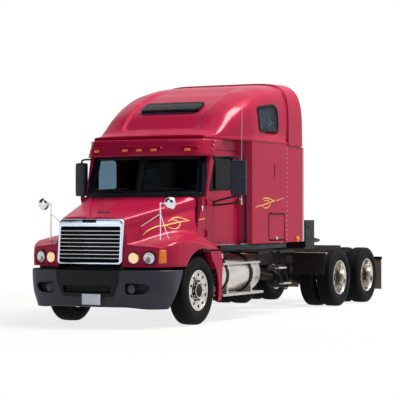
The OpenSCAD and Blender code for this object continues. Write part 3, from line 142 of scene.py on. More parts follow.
tyreRubber = makeFinish(  # moulded carbon-black rubber with a grey bloom of dust
    "mouldedTyreRubber", ("#08080A", "#131213"), 150, (0.62, 0.8), 7, 0.3, {"Specular IOR Level": 0.1})
sealRubber = makeFinish(  # extruded window rubber: near black and dull
    "extrudedSealRubber", ("#09090A", "#121213"), 90, (0.5, 0.65), 5, 0.1, {"Specular IOR Level": 0.12})
flapRubber = makeFinish(  # sheet rubber with dried spray on it
    "sheetFlapRubber", ("#141413", "#2A2622"), 200, (0.65, 0.85), 9, 0.4, {"Specular IOR Level": 0.1})
mudGuardSheet = makeFinish(  # weathered sheet rubber of the hind flaps, brown-grey from the road
    "weatheredFlapRubber", ("#54463C", "#6E5D4F"), 160, (0.7, 0.88), 9, 0.4)
seatCloth = makeFinish(  # woven upholstery: soft nap
    "wovenSeatCloth", ("#3C4250", "#4C5262"), 30, (0.8, 0.92), 3, 0.5, {"Sheen Weight": 0.4})
dashVinyl = makeFinish(  # embossed vinyl: leather-like pebble
    "embossedDashVinyl", ("#2C2D31", "#38393D"), 140, (0.5, 0.62), 4, 0.4, {"Specular IOR Level": 0.2})
stripeFilm = makeFinish(  # cut gold vinyl film, a little faded
    "cutGoldVinylFilm", ("#D2962F", "#E6B455"), 90, (0.3, 0.42), 8, 0.02)
plateEnamel = makeFinish(  # enamelled blank plate
    "enamelledBlankPlate", ("#C7CFDD", "#D9DEE7"), 60, (0.3, 0.42), 6, 0.05)
mirrorGlass = makeFinish(  # silvered glass
    "silveredMirrorGlass", ("#C9D0D6", "#DCE0E4"), 200, (0.02, 0.05), 60, 0.01, {"Metallic": 1.0})
lampSilver = makeFinish(  # vacuum-metallised reflector
    "metallisedReflector", ("#D9DADC", "#EDEDED"), 30, (0.08, 0.18), 12, 0.15, {"Metallic": 1.0})
windowGlass = makeFinish(  # green-grey tinted float glass, dark in an unlit cab
    "tintedFloatGlass", ("#93A8B4", "#9FB3BD"), 500, (0.0, 0.02), 90, 0.002,
    {"Transmission Weight": 1.0, "IOR": 1.12})
fritGlass = makeFinish(  # black ceramic printed on the rim of the windscreen: deep and shiny
    "ceramicPrintedGlass", ("#0A0E16", "#0F141F"), 400, (0.08, 0.14), 60, 0.01, {"Specular IOR Level": 0.15})
foil = makeFinish(  # crumpled sunshade foil: its colour drifts between dark and bright tones as painted reflections off its creases
    "crumpledFoilPaintedReflections", ("#232734", "#9AA0B0"), 55, (0.25, 0.4), 30, 6.0, {"Metallic": 0.6})
fogGlass = makeFinish(  # fog lamp glass, dark grey and dull
    "darkGreyFogLampGlass", ("#34363A", "#55575A"), 30, (0.25, 0.4), 8, 0.4, {"Specular IOR Level": 0.2})
lining = makeFinish(  # brushed cloth glued to the walls inside; its dark blue is partly the cloth's colour and partly painted shade of the unlit inside
    "liningClothAndPaintedShade", ("#1F2B42", "#2A3650"), 90, (0.85, 0.95), 4, 0.4, {"Specular IOR Level": 0.1})
clearLens = makeFinish(  # pressed clear lamp glass with faint fluting
    "pressedClearLampGlass", ("#EEF2F5", "#FBFCFD"), 40, (0.03, 0.08), 9, 0.4,
    {"Transmission Weight": 0.9, "IOR": 1.48})
warmLens = makeFinish(  # lit lamp glass, warm
    "warmLampGlass", ("#FFD08A", "#FFEBC8"), 26, (0.06, 0.12), 9, 0.4,
    {"Transmission Weight": 0.2, "IOR": 1.48, "Emission Color": hexLinear("#FFDFA8"),
     "Emission Strength": 0.3})
amberLens = makeFinish(  # moulded amber acrylic over prisms
    "mouldedAmberAcrylic", ("#E86A08", "#FF9420"), 18, (0.1, 0.2), 7, 0.4,
    {"Transmission Weight": 0.15, "IOR": 1.49})
redLens = makeFinish(  # moulded red acrylic over prisms
    "mouldedRedAcrylic", ("#9A0A0C", "#C41A16"), 18, (0.1, 0.2), 7, 0.4,
    {"Transmission Weight": 0.15, "IOR": 1.49})


def treadPlate():  # rolled tread plate: rows of short raised bars, drawn 45 mm apart so that they show
    material, tree, shader = startMaterial("rolledTreadPlate", {"Metallic": 0.6, "Roughness": 0.55})
    place = addNode(tree, "ShaderNodeTexCoord")
    barPitch = 45
    bars = []
    for angle in (45, -45):
        turned = addNode(tree, "ShaderNodeMapping", {"Vector": place.outputs["Object"],
                                                     "Rotation": (0, 0, math.radians(angle))})
        bars.append(addNode(tree, "ShaderNodeTexWave", {"Vector": turned.outputs[0],
                                                        "Scale": 1000 / barPitch / 6.28 * 2}))
    crossing = addNode(tree, "ShaderNodeMath", {0: bars[0].outputs["Fac"], 1: bars[1].outputs["Fac"]},
                       operation="MULTIPLY")
    # the colour follows the bars: raised parts lighter, the plate between them darker
    shade = addNode(tree, "ShaderNodeValToRGB", {"Fac": crossing.outputs[0]})
    shade.color_ramp.elements[0].color = hexLinear("#161616")
    shade.color_ramp.elements[1].color = hexLinear("#3A3835")
    bump = addNode(tree, "ShaderNodeBump", {"Height": crossing.outputs[0], "Distance": 0.003})
    tree.links.new(shade.outputs[0], shader.inputs["Base Color"])
    tree.links.new(bump.outputs[0], shader.inputs["Normal"])
    return material


deckTread = treadPlate()


# mesh helpers

def toRow(points):
    return np.asarray(points, float) / 1000 + np.array([axleX, 0, 0])  # mm from the axle to metres


def gridFaces(nu, nv, loopU=False, loopV=False):  # quads between neighbours, wrapped where it loops
    a, b = np.meshgrid(np.arange(nu if loopU else nu - 1), np.arange(nv if loopV else nv - 1), indexing="ij")
    c, d = (a + 1) % nu, (b + 1) % nv
    return np.stack([a * nv + b, c * nv + b, c * nv + d, a * nv + d], -1).reshape(-1, 4)


def patch(points, loopU=False, loopV=False, keep=None):
    faces = gridFaces(points.shape[0], points.shape[1], loopU, loopV)
    flat = points.reshape(-1, 3)
    if keep is not None:
        faces = faces[keep(flat[faces].mean(1))]
    return flat, faces


def mirrored(part):  # the same patch on the other side, its faces turned round to stay outward
    points, faces = part
    return points * otherSide, faces[:, ::-1]


def bothSides(*parts):
    return [*parts, *(mirrored(part) for part in parts)]


def wholeOf(half):  # a half net with its mirror image before it, sharing the middle line
    return np.concatenate([half[:, :0:-1] * otherSide, half], 1)


def weld(mesh, dist, tiny, outward=False):  # joins points that meet and drops slivers
    work = bmesh.new()
    work.from_mesh(mesh)
    bmesh.ops.remove_doubles(work, verts=work.verts, dist=dist)
    bmesh.ops.dissolve_degenerate(work, edges=work.edges, dist=tiny)
    if outward:
        bmesh.ops.recalc_face_normals(work, faces=work.faces)
    work.to_mesh(mesh)
    work.free()


def shadeSmooth(mesh, angle):
    mesh.polygons.foreach_set("use_smooth", np.ones(len(mesh.polygons), bool))
    mesh.set_sharp_from_angle(angle=math.radians(angle))


def meshPoints(mesh):  # a mesh's points in mm from the front axle
    flat = np.empty(len(mesh.vertices) * 3)
    mesh.vertices.foreach_get("co", flat)
    return (flat.reshape(-1, 3) - toRow((0, 0, 0))) * 1000


def buildMesh(name, parts, closed=True, angle=40, inside=None):
    counts = np.cumsum([0] + [len(p) for p, _ in parts[:-1]])
    points = toRow(np.concatenate([p for p, _ in parts]))
    faces = np.concatenate([f + n for (_, f), n in zip(parts, counts)])
    used, inverse = np.unique(faces, return_inverse=True)
    mesh = bpy.data.meshes.new(name)
    mesh.from_pydata(points[used].tolist(), [], inverse.reshape(faces.shape).tolist())
    weld(mesh, 1e-5, 1e-6, outward=closed)
    if inside is not None:  # an open sheet is turned so that it faces away from this point
        spots, ways = np.zeros(len(mesh.polygons) * 3), np.zeros(len(mesh.polygons) * 3)
        mesh.polygons.foreach_get("center", spots)
        mesh.polygons.foreach_get("normal", ways)
        if ((spots.reshape(-1, 3) - toRow(inside)) * ways.reshape(-1, 3)).sum() < 0:
            mesh.flip_normals()
    shadeSmooth(mesh, angle)
    return mesh


def addPiece(name, mesh, body, material, replaced=()):
    piece = bpy.data.objects.new(name, mesh)
    scene.collection.objects.link(piece)
    mesh.materials.clear()
    mesh.materials.append(material)
    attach(piece, body)
    if replaced:
        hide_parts(*replaced)
    return piece


def thicken(piece, wall, offset=-1):  # thickness in mm, grown inwards unless the offset says otherwise
    shell = piece.modifiers.new("wall", "SOLIDIFY")
    shell.thickness, shell.offset = wall / 1000, offset


def makePiece(name, parts, node, material, closed=True, angle=40, replaced=(), inside=None, wall=0):
    mesh = buildMesh(name, parts, closed, angle, inside=inside)
    piece = addPiece(name, mesh, bodyOf[node], material, replaced)
    if wall:
        thicken(piece, wall)
    return piece


def bakeModifiers(piece):  # puts the modifiers' result into the mesh
    bpy.context.view_layer.update()
    done = bpy.data.meshes.new_from_object(piece.evaluated_get(bpy.context.evaluated_depsgraph_get()))
    piece.modifiers.clear()
    old, piece.data = piece.data, done
    bpy.data.meshes.remove(old)
    return piece


def layOn(piece, target, lift, axis=None):  # drops a flat piece onto a skin, lift in mm
    wrap = piece.modifiers.new("lay", "SHRINKWRAP")
    wrap.target, wrap.offset = target, lift / 1000
    wrap.wrap_method = "PROJECT" if axis else "NEAREST_SURFACEPOINT"
    wrap.wrap_mode = "ABOVE_SURFACE"
    if axis:
        wrap.use_project_x, wrap.use_project_y = axis == "x", axis == "y"
        wrap.use_negative_direction = wrap.use_positive_direction = True
    return bakeModifiers(piece)


def curve(points, count):  # Catmull-Rom: each span a cubic whose ends run along their neighbours
    p = np.asarray(points, float)
    p = np.vstack([2 * p[0] - p[1], p, 2 * p[-1] - p[-2]])
    s = np.linspace(0, len(p) - 3 - 1e-9, count)
    i = s.astype(int)
    t = (s - i)[:, None]
    a, b, c, d = p[i], p[i + 1], p[i + 2], p[i + 3]
    return 0.5 * (2 * b + (c - a) * t + (2 * a - 5 * b + 4 * c - d) * t ** 2 +
                  (3 * b - a - 3 * c + d) * t ** 3)


def evenly(points, step, loop=False):  # points along a broken line, a step apart
    p = np.asarray(points, float)
    p = np.vstack([p, p[:1]]) if loop else p
    s = np.concatenate([[0], np.cumsum(np.linalg.norm(np.diff(p, axis=0), axis=1))])
    t = np.linspace(0, s[-1], max(3, int(s[-1] / step) + 1), endpoint=not loop)
    return np.stack([np.interp(t, s, p[:, k]) for k in range(p.shape[1])], -1)


def roundedLoop(points, radius, step=12):  # a polygon whose corners are quadratic curves, sampled evenly
    p = np.asarray(points, float)
    before, after = np.roll(p, 1, 0) - p, np.roll(p, -1, 0) - p
    a = p + before / np.linalg.norm(before, axis=1)[:, None] * radius
    b = p + after / np.linalg.norm(after, axis=1)[:, None] * radius
    t = np.linspace(0, 1, 7)[None, :, None]
    bent = (1 - t) ** 2 * a[:, None] + 2 * t * (1 - t) * p[:, None] + t ** 2 * b[:, None]
    return evenly(bent.reshape(-1, p.shape[1]), step, loop=True)


def signedPower(t, power):
    return np.sign(t) * np.abs(t) ** power


def ring(count, a, b=None, power=1.0):  # a superellipse profile
    t = np.linspace(0, 2 * np.pi, count, endpoint=False)
    return np.stack([a * signedPower(np.cos(t), power), (b or a) * signedPower(np.sin(t), power)], -1)


def sweep(path, profile, up=(0, 0, 1), loop=False, sizes=None):
    # a closed profile carried along a path, its second axis held near up; open ends close to a point
    path = np.asarray(path, float)
    if loop:
        along = np.roll(path, -1, 0) - np.roll(path, 1, 0)
    else:
        along = np.gradient(path, axis=0)
    along /= np.linalg.norm(along, axis=1)[:, None]
    up = np.broadcast_to(np.asarray(up, float), along.shape)
    side = np.cross(up, along)
    side /= np.linalg.norm(side, axis=1)[:, None] + 1e-12
    top = np.cross(along, side)
    scale = np.ones(len(path)) if sizes is None else np.asarray(sizes, float)
    if not loop:
        path = np.vstack([path[:1], path, path[-1:]])
        side, top = (np.vstack([k[:1], k, k[-1:]]) for k in (side, top))
        scale = np.concatenate([[0], scale, [0]])
    p = np.asarray(profile, float)[None] * scale[:, None, None]
    points = path[:, None] + p[..., :1] * side[:, None] + p[..., 1:] * top[:, None]
    return patch(points, loopU=loop, loopV=True)


def acrossAxis(axis):  # an axis and two directions square to it, all of length 1
    axis = np.asarray(axis, float) / np.linalg.norm(axis)
    first = np.cross(axis, (0, 0, 1) if abs(axis[2]) < 0.9 else (1, 0, 0))
    first /= np.linalg.norm(first)
    return axis, first, np.cross(axis, first)


def revolve(profile, centre, axis, count=48, closed=False):
    # a profile of (along, radius) turned about an axis through centre
    axis, first, second = acrossAxis(axis)
    t = np.linspace(0, 2 * np.pi, count, endpoint=False)[:, None, None]
    p = np.asarray(profile, float)[None]
    points = np.asarray(centre) + p[..., :1] * axis + p[..., 1:] * (np.cos(t) * first + np.sin(t) * second)
    return patch(points, loopU=True, loopV=closed)


def domes(centres, normal, radius, height, count=8, flat=0.0):
    # the same small dome at every centre: height falls with the square of the distance from its middle
    t = np.linspace(0, 2 * np.pi, count, endpoint=False)
    r = np.array([1.0, 0.98, 0.7, 0.0])[:, None]
    h = np.array([0.0, 0.35 + flat * 0.6, 0.8 + flat * 0.2, 1.0])[:, None]
    n, first, second = acrossAxis(normal)
    shape = (radius * r * np.cos(t))[..., None] * first + (radius * r * np.sin(t))[..., None] * second
    shape = shape + (height * h)[..., None] * n
    base, faces = patch(shape, loopV=True)
    centres = np.asarray(centres, float).reshape(-1, 3)
    points = (centres[:, None] + base[None]).reshape(-1, 3)
    return points, (np.arange(len(centres))[:, None, None] * len(base) + faces[None]).reshape(-1, 4)


def block(low, high, soft=6.0):
    # a box with rounded edges: superellipse rings that shrink at both ends
    low, high = np.minimum(low, high), np.maximum(low, high)
    c, h = (np.asarray(low) + high) / 2, (np.asarray(high) - low) / 2
    soft = min(soft, *(h * 0.9))
    t = np.linspace(0, np.pi / 2, 4)
    corner = np.concatenate([np.stack([np.cos(t + k * np.pi / 2), np.sin(t + k * np.pi / 2)], -1)
                             for k in range(4)])
    signs = np.repeat([[1, 1], [-1, 1], [-1, -1], [1, -1]], 4, 0)
    rows = []
    for level, inset in ((-1, 1.0), (-1, 0.4), (-1, 0.0), (1, 0.0), (1, 0.4), (1, 1.0)):
        lift = h[2] - (soft if inset == 0.0 else soft * 0.25 if inset < 1 else 0)
        size = soft * (1 - inset)
        flat = signs * (h[:2] - soft) + corner * size
        rows.append(np.column_stack([flat, np.full(len(flat), level * lift)]))
    rows = [np.zeros_like(rows[0]) + (0, 0, -h[2])] + rows + [np.zeros_like(rows[0]) + (0, 0, h[2])]
    return patch(np.array(rows) + c, loopV=True)


def boxFilter(x, table, width):  # a table read with its corners eased over a width
    t = np.asarray(table, float)
    offsets = np.linspace(-width / 2, width / 2, 9)
    return np.mean([np.interp(x + o, t[:, 0], t[:, 1]) for o in offsets], 0)


def ease(value, start, end):  # 0 before start, 1 after end, smooth between
    t = np.clip((value - start) / (end - start), 0, 1)
    return t * t * (3 - 2 * t)


def mixed(a, b, t):
    return a + (b - a) * t


def densify(net, steps, axis):  # straight points between the rows of a net, about a step apart
    net = np.moveaxis(net, axis, 0)
    lengths = np.linalg.norm(np.diff(net, axis=0), axis=-1).mean(1)
    counts = np.maximum(2, np.ceil(lengths / steps)).astype(int)
    place = np.concatenate([i + np.arange(n) / n for i, n in enumerate(counts)] + [[len(net) - 1]])
    i = np.minimum(place.astype(int), len(net) - 2)
    t = (place - i).reshape((-1,) + (1,) * (net.ndim - 1))
    return np.moveaxis(net[i] * (1 - t) + net[i + 1] * t, 0, axis)


def relax(net, axis, rounds):  # each point moves to the binomial mean of its neighbours; ends stay
    net = np.moveaxis(net, axis, 0).copy()
    for _ in range(rounds):
        net[1:-1] = (net[:-2] + 2 * net[1:-1] + net[2:]) / 4
    return np.moveaxis(net, 0, axis)


# copies of CAD solids whose facets are joined and shaded smooth between sharp edges

def smoothNode(node, material, angle=30):
    mesh = frame["nodes"][node].data.copy()
    mesh.name = node + "_smooth"
    for layer in ("custom_normal", "sharp_edge", "sharp_face"):
        if layer in mesh.attributes:
            mesh.attributes.remove(mesh.attributes[layer])
    weld(mesh, 2e-5, 1e-5)
    shadeSmooth(mesh, angle)
    return addPiece(node + "_smooth", mesh, bodyOf[node], material, (node,))


print("CAD nodes")
kept = {  # flat-sided nodes keep their solids and take a finish
    "frame": blackSteel, "front_axle": castIron, "rear_suspension": castIron, "radiator": blackPlastic,
    "bumper_insert": blackPlastic, "tank_steps": stepAlloy, "deck_plate": deckTread,
    "deck_ladder": blackSteel, "mud_flaps": flapRubber, "coupling_base": blackSteel,
    "hookup_box": blackPlastic, "dashboard": dashVinyl,
}
for node, material in kept.items():
    solid = frame["nodes"][node]
    for holder in solid.material_slots:
        holder.link, holder.material = "OBJECT", material
smooth = {
    "powertrain": castIron, "drive_axles": castIron, "fuel_tanks": tankAlloy,
    "cab_shell": paint, "sleeper_shell": paint, "side_extenders": paint,
    "fixed_glass": windowGlass, "quarter_panels": paint, "hood_mirrors": chrome,
    "door_left": paint, "door_right": paint, "door_glass_left": windowGlass, "door_glass_right": windowGlass,
    "luggage_door_left": paint, "luggage_door_right": paint, "knuckle_left": castIron,
    "knuckle_right": castIron, "tie_rod": castIron, "steering_wheel": blackPlastic,
    "front_rim_left": wheelAlloy, "front_rim_right": wheelAlloy, "coupling_plate": greasySteel,
    "drive_rims_1_left": wheelAlloy, "drive_rims_1_right": wheelAlloy,
    "drive_rims_2_left": wheelAlloy, "drive_rims_2_right": wheelAlloy,
}
for node, material in smooth.items():
    smoothNode(node, material)


print("hood")
hoodForm = dict(
    noseHalf=552, cowlHalf=955, noseZ=1566, cowlZ=1851, ridgeNose=70, ridgeCowl=800, sideNose=1446,
    sideCowl=1725, footNose=600, footCowl=1078, nose=1050, rear=-120, tail=-552, archR=612, archZ=505,
    grilleHalf=528, grilleTop=1516, lowZ=872, heelZ=1098, wall=12, step=17,
    cowlBack=[[0, 0], [1, -20], [2, -95], [3, -115], [4, -150], [5, -178], [6, -185], [7, -188], [8, -170],
              [9, -152], [10, -10], [11, -20], [12, -180]],
    ledge=[[-552, 1160], [-120, 1345], [200, 1380], [500, 1330], [950, 1214], [1050, 1185]],
    plan=[[-552, 1200], [0, 1215], [500, 1212], [700, 1198], [800, 1178], [900, 1132], [960, 1082],
          [1010, 1018]],
    line=[[-552, 1138], [-300, 1185], [0, 1235], [400, 1262], [670, 1250], [900, 1185], [1010, 1130]],
    rows=(0, 0.12, 0.26, 0.4, 0.55, 0.7, 0.84, 0.94, 1),
    lampY=800, lampZ=1000, pocketHalf=115, pocketDepth=22, gripX=800, gripHalf=95, gripDepth=12,
    face=1206, faceArc=3000, faceZ=890, faceLean=5.1,
)


def hoodFace(y, z):  # the nose in plan is a 3 m arc, and it leans back 5.1 degrees as it rises
    h = hoodForm
    bow = h["faceArc"] - np.sqrt(h["faceArc"] ** 2 - y ** 2)
    return h["face"] - bow - math.tan(math.radians(h["faceLean"])) * (z - h["faceZ"])


def hoodSection(x):
    # 19 points across half the hood for each x: ridge, top, shoulder, side crease, ledge, fender and skirt;
    # nose and cowl values are mixed by how far back the point is
    h = hoodForm
    column = np.arange(19)[:, None]
    back = np.where(column <= 10, h["rear"] + np.interp(column, *np.array(h["cowlBack"]).T), h["rear"])
    t = np.clip((h["nose"] - x) / (h["nose"] - back), 0, 1)
    ys, zs = mixed(h["noseHalf"], h["cowlHalf"], t), mixed(h["noseZ"], h["cowlZ"], t)
    yc, zc = mixed(h["ridgeNose"], h["ridgeCowl"], t), mixed(h["sideNose"], h["sideCowl"], t)
    yl, zl = mixed(h["footNose"], h["footCowl"], t), boxFilter(x, h["ledge"], 160)
    yf, zf = boxFilter(x, h["plan"], 90), boxFilter(x, h["line"], 160)
    zb = np.where(x > 150, h["lowZ"], h["heelZ"])
    acrossY = [0 * x, yc / 2, yc - 22, yc + 20, mixed(yc, ys, 0.62), ys - 38, ys - 11, ys, ys + 10, ys + 1,
               mixed(ys, yl, 0.6), yl - 4, yl + 24, mixed(yl, yf, 0.6), yf - 46, yf - 14, yf, yf + 4, yf + 4]
    acrossZ = [zs + 24, zs + 22, zs + 18, zs + 34, zs + 26, zs + 10, zs - 12, zs - 48, zc + 12, zc - 14,
               mixed(zc, zl, 0.6), zl + 26, zl - 4, mixed(zl, zf, 0.62) + 8, zf + 4, zf - 15, zf - 48,
               np.maximum(zb + 12, mixed(zf - 48, zb, 0.5)), zb]
    y = np.stack([a[k] for k, a in enumerate(acrossY)])
    z = np.stack([a[k] for k, a in enumerate(acrossZ)])
    return np.stack([x, y, z], -1)


def hoodNet():
    h = hoodForm
    column = np.arange(19)
    back = np.where(column <= 12, h["rear"] + np.interp(column, *np.array(h["cowlBack"]).T), h["tail"])
    edge = hoodSection(np.where(column < 12, 1040.0, 990.0)[:, None])[:, 0]
    end = hoodFace(edge[:, 1], edge[:, 2]) - 42
    top = hoodSection(mixed(back[:, None], end[:, None], np.array(h["rows"])[None]))
    last = top[:, -1]
    # the front face runs from the rolled edge to the opening round the grille
    gy = np.where(column <= 4, edge[:, 1] * 0.95, np.where(column == 5, h["grilleHalf"] - 40,
                  np.where(column == 6, h["grilleHalf"] - 12, h["grilleHalf"])))
    gz = np.where(column <= 4, h["grilleTop"], np.where(column == 5, h["grilleTop"] - 2,
                  np.where(column == 6, h["grilleTop"] - 12, mixed(h["grilleTop"] - 40, h["lowZ"],
                           np.clip(column - 7, 0, 11) / 11))))
    face = []
    toward = np.stack([gy - last[:, 1], gz - last[:, 2]], -1)
    unit = toward / (np.linalg.norm(toward, axis=1)[:, None] + 1e-9)
    for reach, setBack in ((10, 12), (34, 0)):
        y, z = last[:, 1] + unit[:, 0] * reach, last[:, 2] + unit[:, 1] * reach
        face.append(np.stack([hoodFace(y, z) - setBack, y, z], -1))
    for share in (0.35, 0.7, 1.0):
        y, z = mixed(face[1][:, 1], gy, share), mixed(face[1][:, 2], gz, share)
        face.append(np.stack([hoodFace(y, z), y, z], -1))
    return np.concatenate([top, np.stack(face, 1)], 1)


def makeHood():
    h = hoodForm
    whole = wholeOf(hoodNet().swapaxes(0, 1)).swapaxes(0, 1)
    net = densify(densify(whole, h["step"], 0), h["step"], 1)
    net = relax(relax(net, 0, 4), 1, 4)
    x, y, z = np.moveaxis(net, -1, 0)
    # the lamps of each side share one sunk oval pocket with eased edges
    out = np.hypot(np.maximum(np.abs(np.abs(y) - h["lampY"]) - h["pocketHalf"], 0), z - h["lampZ"])
    net[..., 0] -= np.where(x > 900, h["pocketDepth"] * ease(-out, -118, -92), 0)
    # a slot-shaped grip is pressed into the nose of the hood
    grip = ease(-np.hypot(np.maximum(np.abs(y) - h["gripHalf"], 0), x - h["gripX"]), -46, -24)
    net[..., 2] -= np.where((z > 1560) & (np.abs(y) < 240), h["gripDepth"] * grip, 0)

    def outside(centres):
        return np.hypot(centres[:, 0], centres[:, 2] - h["archZ"]) > h["archR"]

    points, faces = patch(net, keep=outside)
    r = np.hypot(points[:, 0], points[:, 2] - h["archZ"])
    near = (np.abs(r - h["archR"]) < h["step"] * 1.1) & (points[:, 2] < 1180) & (np.abs(points[:, 1]) > 700)
    pull = np.where(near & (r < h["archR"]), h["archR"] / np.maximum(r, 1), 1)  # cut edge onto the circle
    points = points.copy()
    points[:, 0] *= pull
    points[:, 2] = h["archZ"] + (points[:, 2] - h["archZ"]) * pull
    return makePiece("hoodSkin", [(points, faces)], "hood", paint, closed=False, angle=50, replaced=("hood",),
                     inside=(300, 0, 1100), wall=h["wall"])


hoodSkin = makeHood()


print("roof")
roofForm = dict(
    seam=2760, curb=45, flat=0.14, rise=1000, front=-560, back=-3060, rows=150,
    plan=[[-3700, 1206], [-1750, 1208], [-1500, 1172], [-1000, 1078], [-700, 1000], [-560, 946]],
    line=[[-3700, 1.025], [-3060, 1], [-2500, 0.936], [-1900, 0.805], [-1470, 0.633], [-1190, 0.486],
          [-800, 0.11], [-560, 0.06]],
    square=[[-3700, 0.255], [-2300, 0.27], [-1500, 0.386], [-560, 0.62]],
    window=[[-1985, 2945], [-1945, 3300], [-2560, 3375], [-2660, 3300], [-2680, 2985], [-2640, 2960]],
    skylight=[[-1215, -500], [-1215, 500], [-1450, 505], [-1450, -505]],
    recessHalf=700, recessFront=-830, recessDepth=42, recessCorner=150, recessEdge=70,
)


def roofSize(x):
    r = roofForm
    base = boxFilter(x, r["plan"], 160)
    high = np.maximum(65, r["rise"] * boxFilter(x, r["line"], 170))
    return base, high, boxFilter(x, r["square"], 100)


def roofSide(x, z, lift=0):  # the roof's half width at a height, from its superellipse section
    base, high, p = roofSize(x)
    r = roofForm
    s = np.clip((z - r["seam"] - r["curb"]) / (high - r["curb"]), 0, 1) ** (1 / (p + r["flat"]))
    return base * np.sqrt(np.clip(1 - s ** 2, 0, 1)) ** p + lift


def roofTop(x, y):  # the roof's height over a plan point
    base, high, p = roofSize(x)
    r = roofForm
    c = np.clip(np.abs(y) / base, 0, 1) ** (1 / p)
    return r["seam"] + r["curb"] + (high - r["curb"]) * np.sqrt(np.clip(1 - c ** 2, 0, 1)) ** (p + r["flat"])


def insideLoop(points, loop):  # even-odd test of plan points against a polygon, as whole arrays
    x, y = points[:, :1], points[:, 1:]
    a, b = np.asarray(loop, float), np.roll(np.asarray(loop, float), -1, 0)
    spans = (a[:, 1] > y) != (b[:, 1] > y)
    cross = (b[:, 0] - a[:, 0]) * (y - a[:, 1]) / (b[:, 1] - a[:, 1] + 1e-12) + a[:, 0]
    return (spans & (x < cross)).sum(1) % 2 == 1


def makeRoof():
    r = roofForm
    x = np.linspace(r["front"], r["back"], r["rows"])[:, None]
    turn = np.radians([0, 2, 5, 8, 11, 14.5, 18, 22, 26, 30.5, 35, 40, 45, 50, 55, 60, 64, 68, 72, 76, 79, 82,
                       85, 87.5, 90])
    turn = np.interp(np.linspace(0, len(turn) - 1, 3 * len(turn) - 2), np.arange(len(turn)), turn)
    base, high, p = roofSize(x)
    y = base * np.cos(turn) ** p
    z = r["seam"] + r["curb"] + (high - r["curb"]) * np.sin(turn) ** (p + r["flat"])
    skirtY = np.broadcast_to(base + 12, (len(x), 2))
    skirtZ = np.broadcast_to(r["seam"] + np.array([0, 34]), (len(x), 2))
    half = np.stack([np.broadcast_to(x, (len(x), len(turn) + 2)), np.hstack([skirtY, y]),
                     np.hstack([skirtZ, z])], -1)
    net = np.concatenate([half, half[:, -2::-1] * otherSide], 1)
    # the forehead round the skylight is sunk: depth eases in from a rounded oblong's edge,
    # and fades rearwards
    qy = np.abs(net[..., 1]) - r["recessHalf"] + r["recessCorner"]
    qx = net[..., 0] - r["recessFront"] + r["recessCorner"]
    edge = np.hypot(np.maximum(qy, 0), np.maximum(qx, 0)) + np.minimum(np.maximum(qy, qx), 0)
    sink = r["recessDepth"] * ease(r["recessCorner"] - edge, 0, r["recessEdge"])
    sink = sink * ease(net[..., 0], -2450, -1900)
    normal = np.cross(np.gradient(net, axis=1), np.gradient(net, axis=0))
    normal /= np.linalg.norm(normal, axis=-1)[..., None] + 1e-9
    normal *= np.sign(normal[..., 2:] + 1e-9)
    sink = np.where(net[..., 2] > r["seam"] + 70, sink, 0)
    net = net - normal * sink[..., None]
    lip = net[:1].copy()
    lip[..., 2] = r["seam"] - 4  # the front edge is closed down to the visor
    net = np.concatenate([lip, net])
    window = roundedLoop(r["window"], 60)
    light = roundedLoop(r["skylight"], 50)

    def solid(c):
        side = insideLoop(c[:, [0, 2]], window) & (np.abs(c[:, 1]) > 900)
        return ~side & ~(insideLoop(c[:, :2], light) & (c[:, 2] > 3000))

    makePiece("roofSkin", [patch(net, keep=solid)], "roof_cap", paint, closed=False, angle=60,
              replaced=("roof_cap",), inside=(-1900, 0, 2760), wall=16)


makeRoof()


print("tyres")
tyreForm = dict(radius=505, half=140, rimR=298, dual=165, turns=240, groove=11,
                ribs=(-62, -21, 21, 62), ribHalf=6.5)


def tyreSurface(drive):
    # the section runs from bead to bead; ribs sink round the crown, and blocks sink across it in a cycle
    f = tyreForm
    r, h, b = f["radius"], f["half"], f["rimR"]
    half = [[b - 14, -0.62], [b + 4, -0.78], [b + 22, -0.84], [b + 40, -0.9], [b + 60, -0.96],
            [b + 90, -1.0], [b + 120, -1.0], [r - 70, -0.97], [r - 40, -0.91], [r - 22, -0.85],
            [r - 9, -0.78], [r - 4, -0.72]]
    crownY = np.linspace(-0.66, 0.66, 37)
    crown = np.stack([r - 3 * np.abs(crownY / 0.66) ** 3, crownY], -1)
    section = np.vstack([half, crown, np.array(half[::-1]) * [1, -1]])
    y = section[:, 1] * h
    ribs = np.min(np.abs(y[:, None] - np.array(f["ribs"])), 1)
    sink = f["groove"] * ease(-ribs, -f["ribHalf"] - 2.5, -f["ribHalf"] + 1.5) * (np.abs(y) < 92)
    angle = np.linspace(0, 2 * np.pi, f["turns"], endpoint=False)[:, None]
    phase = (angle * (60 if drive else 80) / (2 * np.pi) + 0.006 * np.abs(y)) % 1
    notch = ease(np.abs(phase - 0.5), 0.34 if drive else 0.42, 0.46)
    zone = ease(np.abs(y), 22 if drive else 66, 30 if drive else 74) * ease(-np.abs(y), -121, -112)
    sink = np.maximum(sink, notch * zone * (12 if drive else 5))
    ridge = 1.6 * np.exp(-((section[:, 0] - (b + 62)) / 3.5) ** 2)  # a moulded ring low on the wall
    ridge = ridge + 1.2 * np.exp(-((section[:, 0] - (r - 52)) / 3.0) ** 2)
    radius = section[:, 0] - sink
    out = np.broadcast_to(y + np.sign(y) * ridge, radius.shape)
    points = np.stack([radius * np.cos(angle), out, radius * np.sin(angle)], -1)
    return patch(points, loopU=True, loopV=True)


frontTread, driveTread = tyreSurface(False), tyreSurface(True)
for node in ["front_tyre_left", "front_tyre_right"] + [
        "drive_tyres_%d_%s" % (k, side) for k in (1, 2) for side, _ in sides]:
    low, high = (np.array(c) * 1000 - np.array([axleX * 1000, 0, 0]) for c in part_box(node))
    middle = (low + high) / 2
    dual = node.startswith("drive")
    gaps = (-tyreForm["dual"], tyreForm["dual"]) if dual else (0,)
    points, faces = driveTread if dual else frontTread
    parts = [(points + middle + np.array([0, g, 0]), faces) for g in gaps]
    makePiece(node + "_tread", parts, node, tyreRubber, angle=35, replaced=(node,))


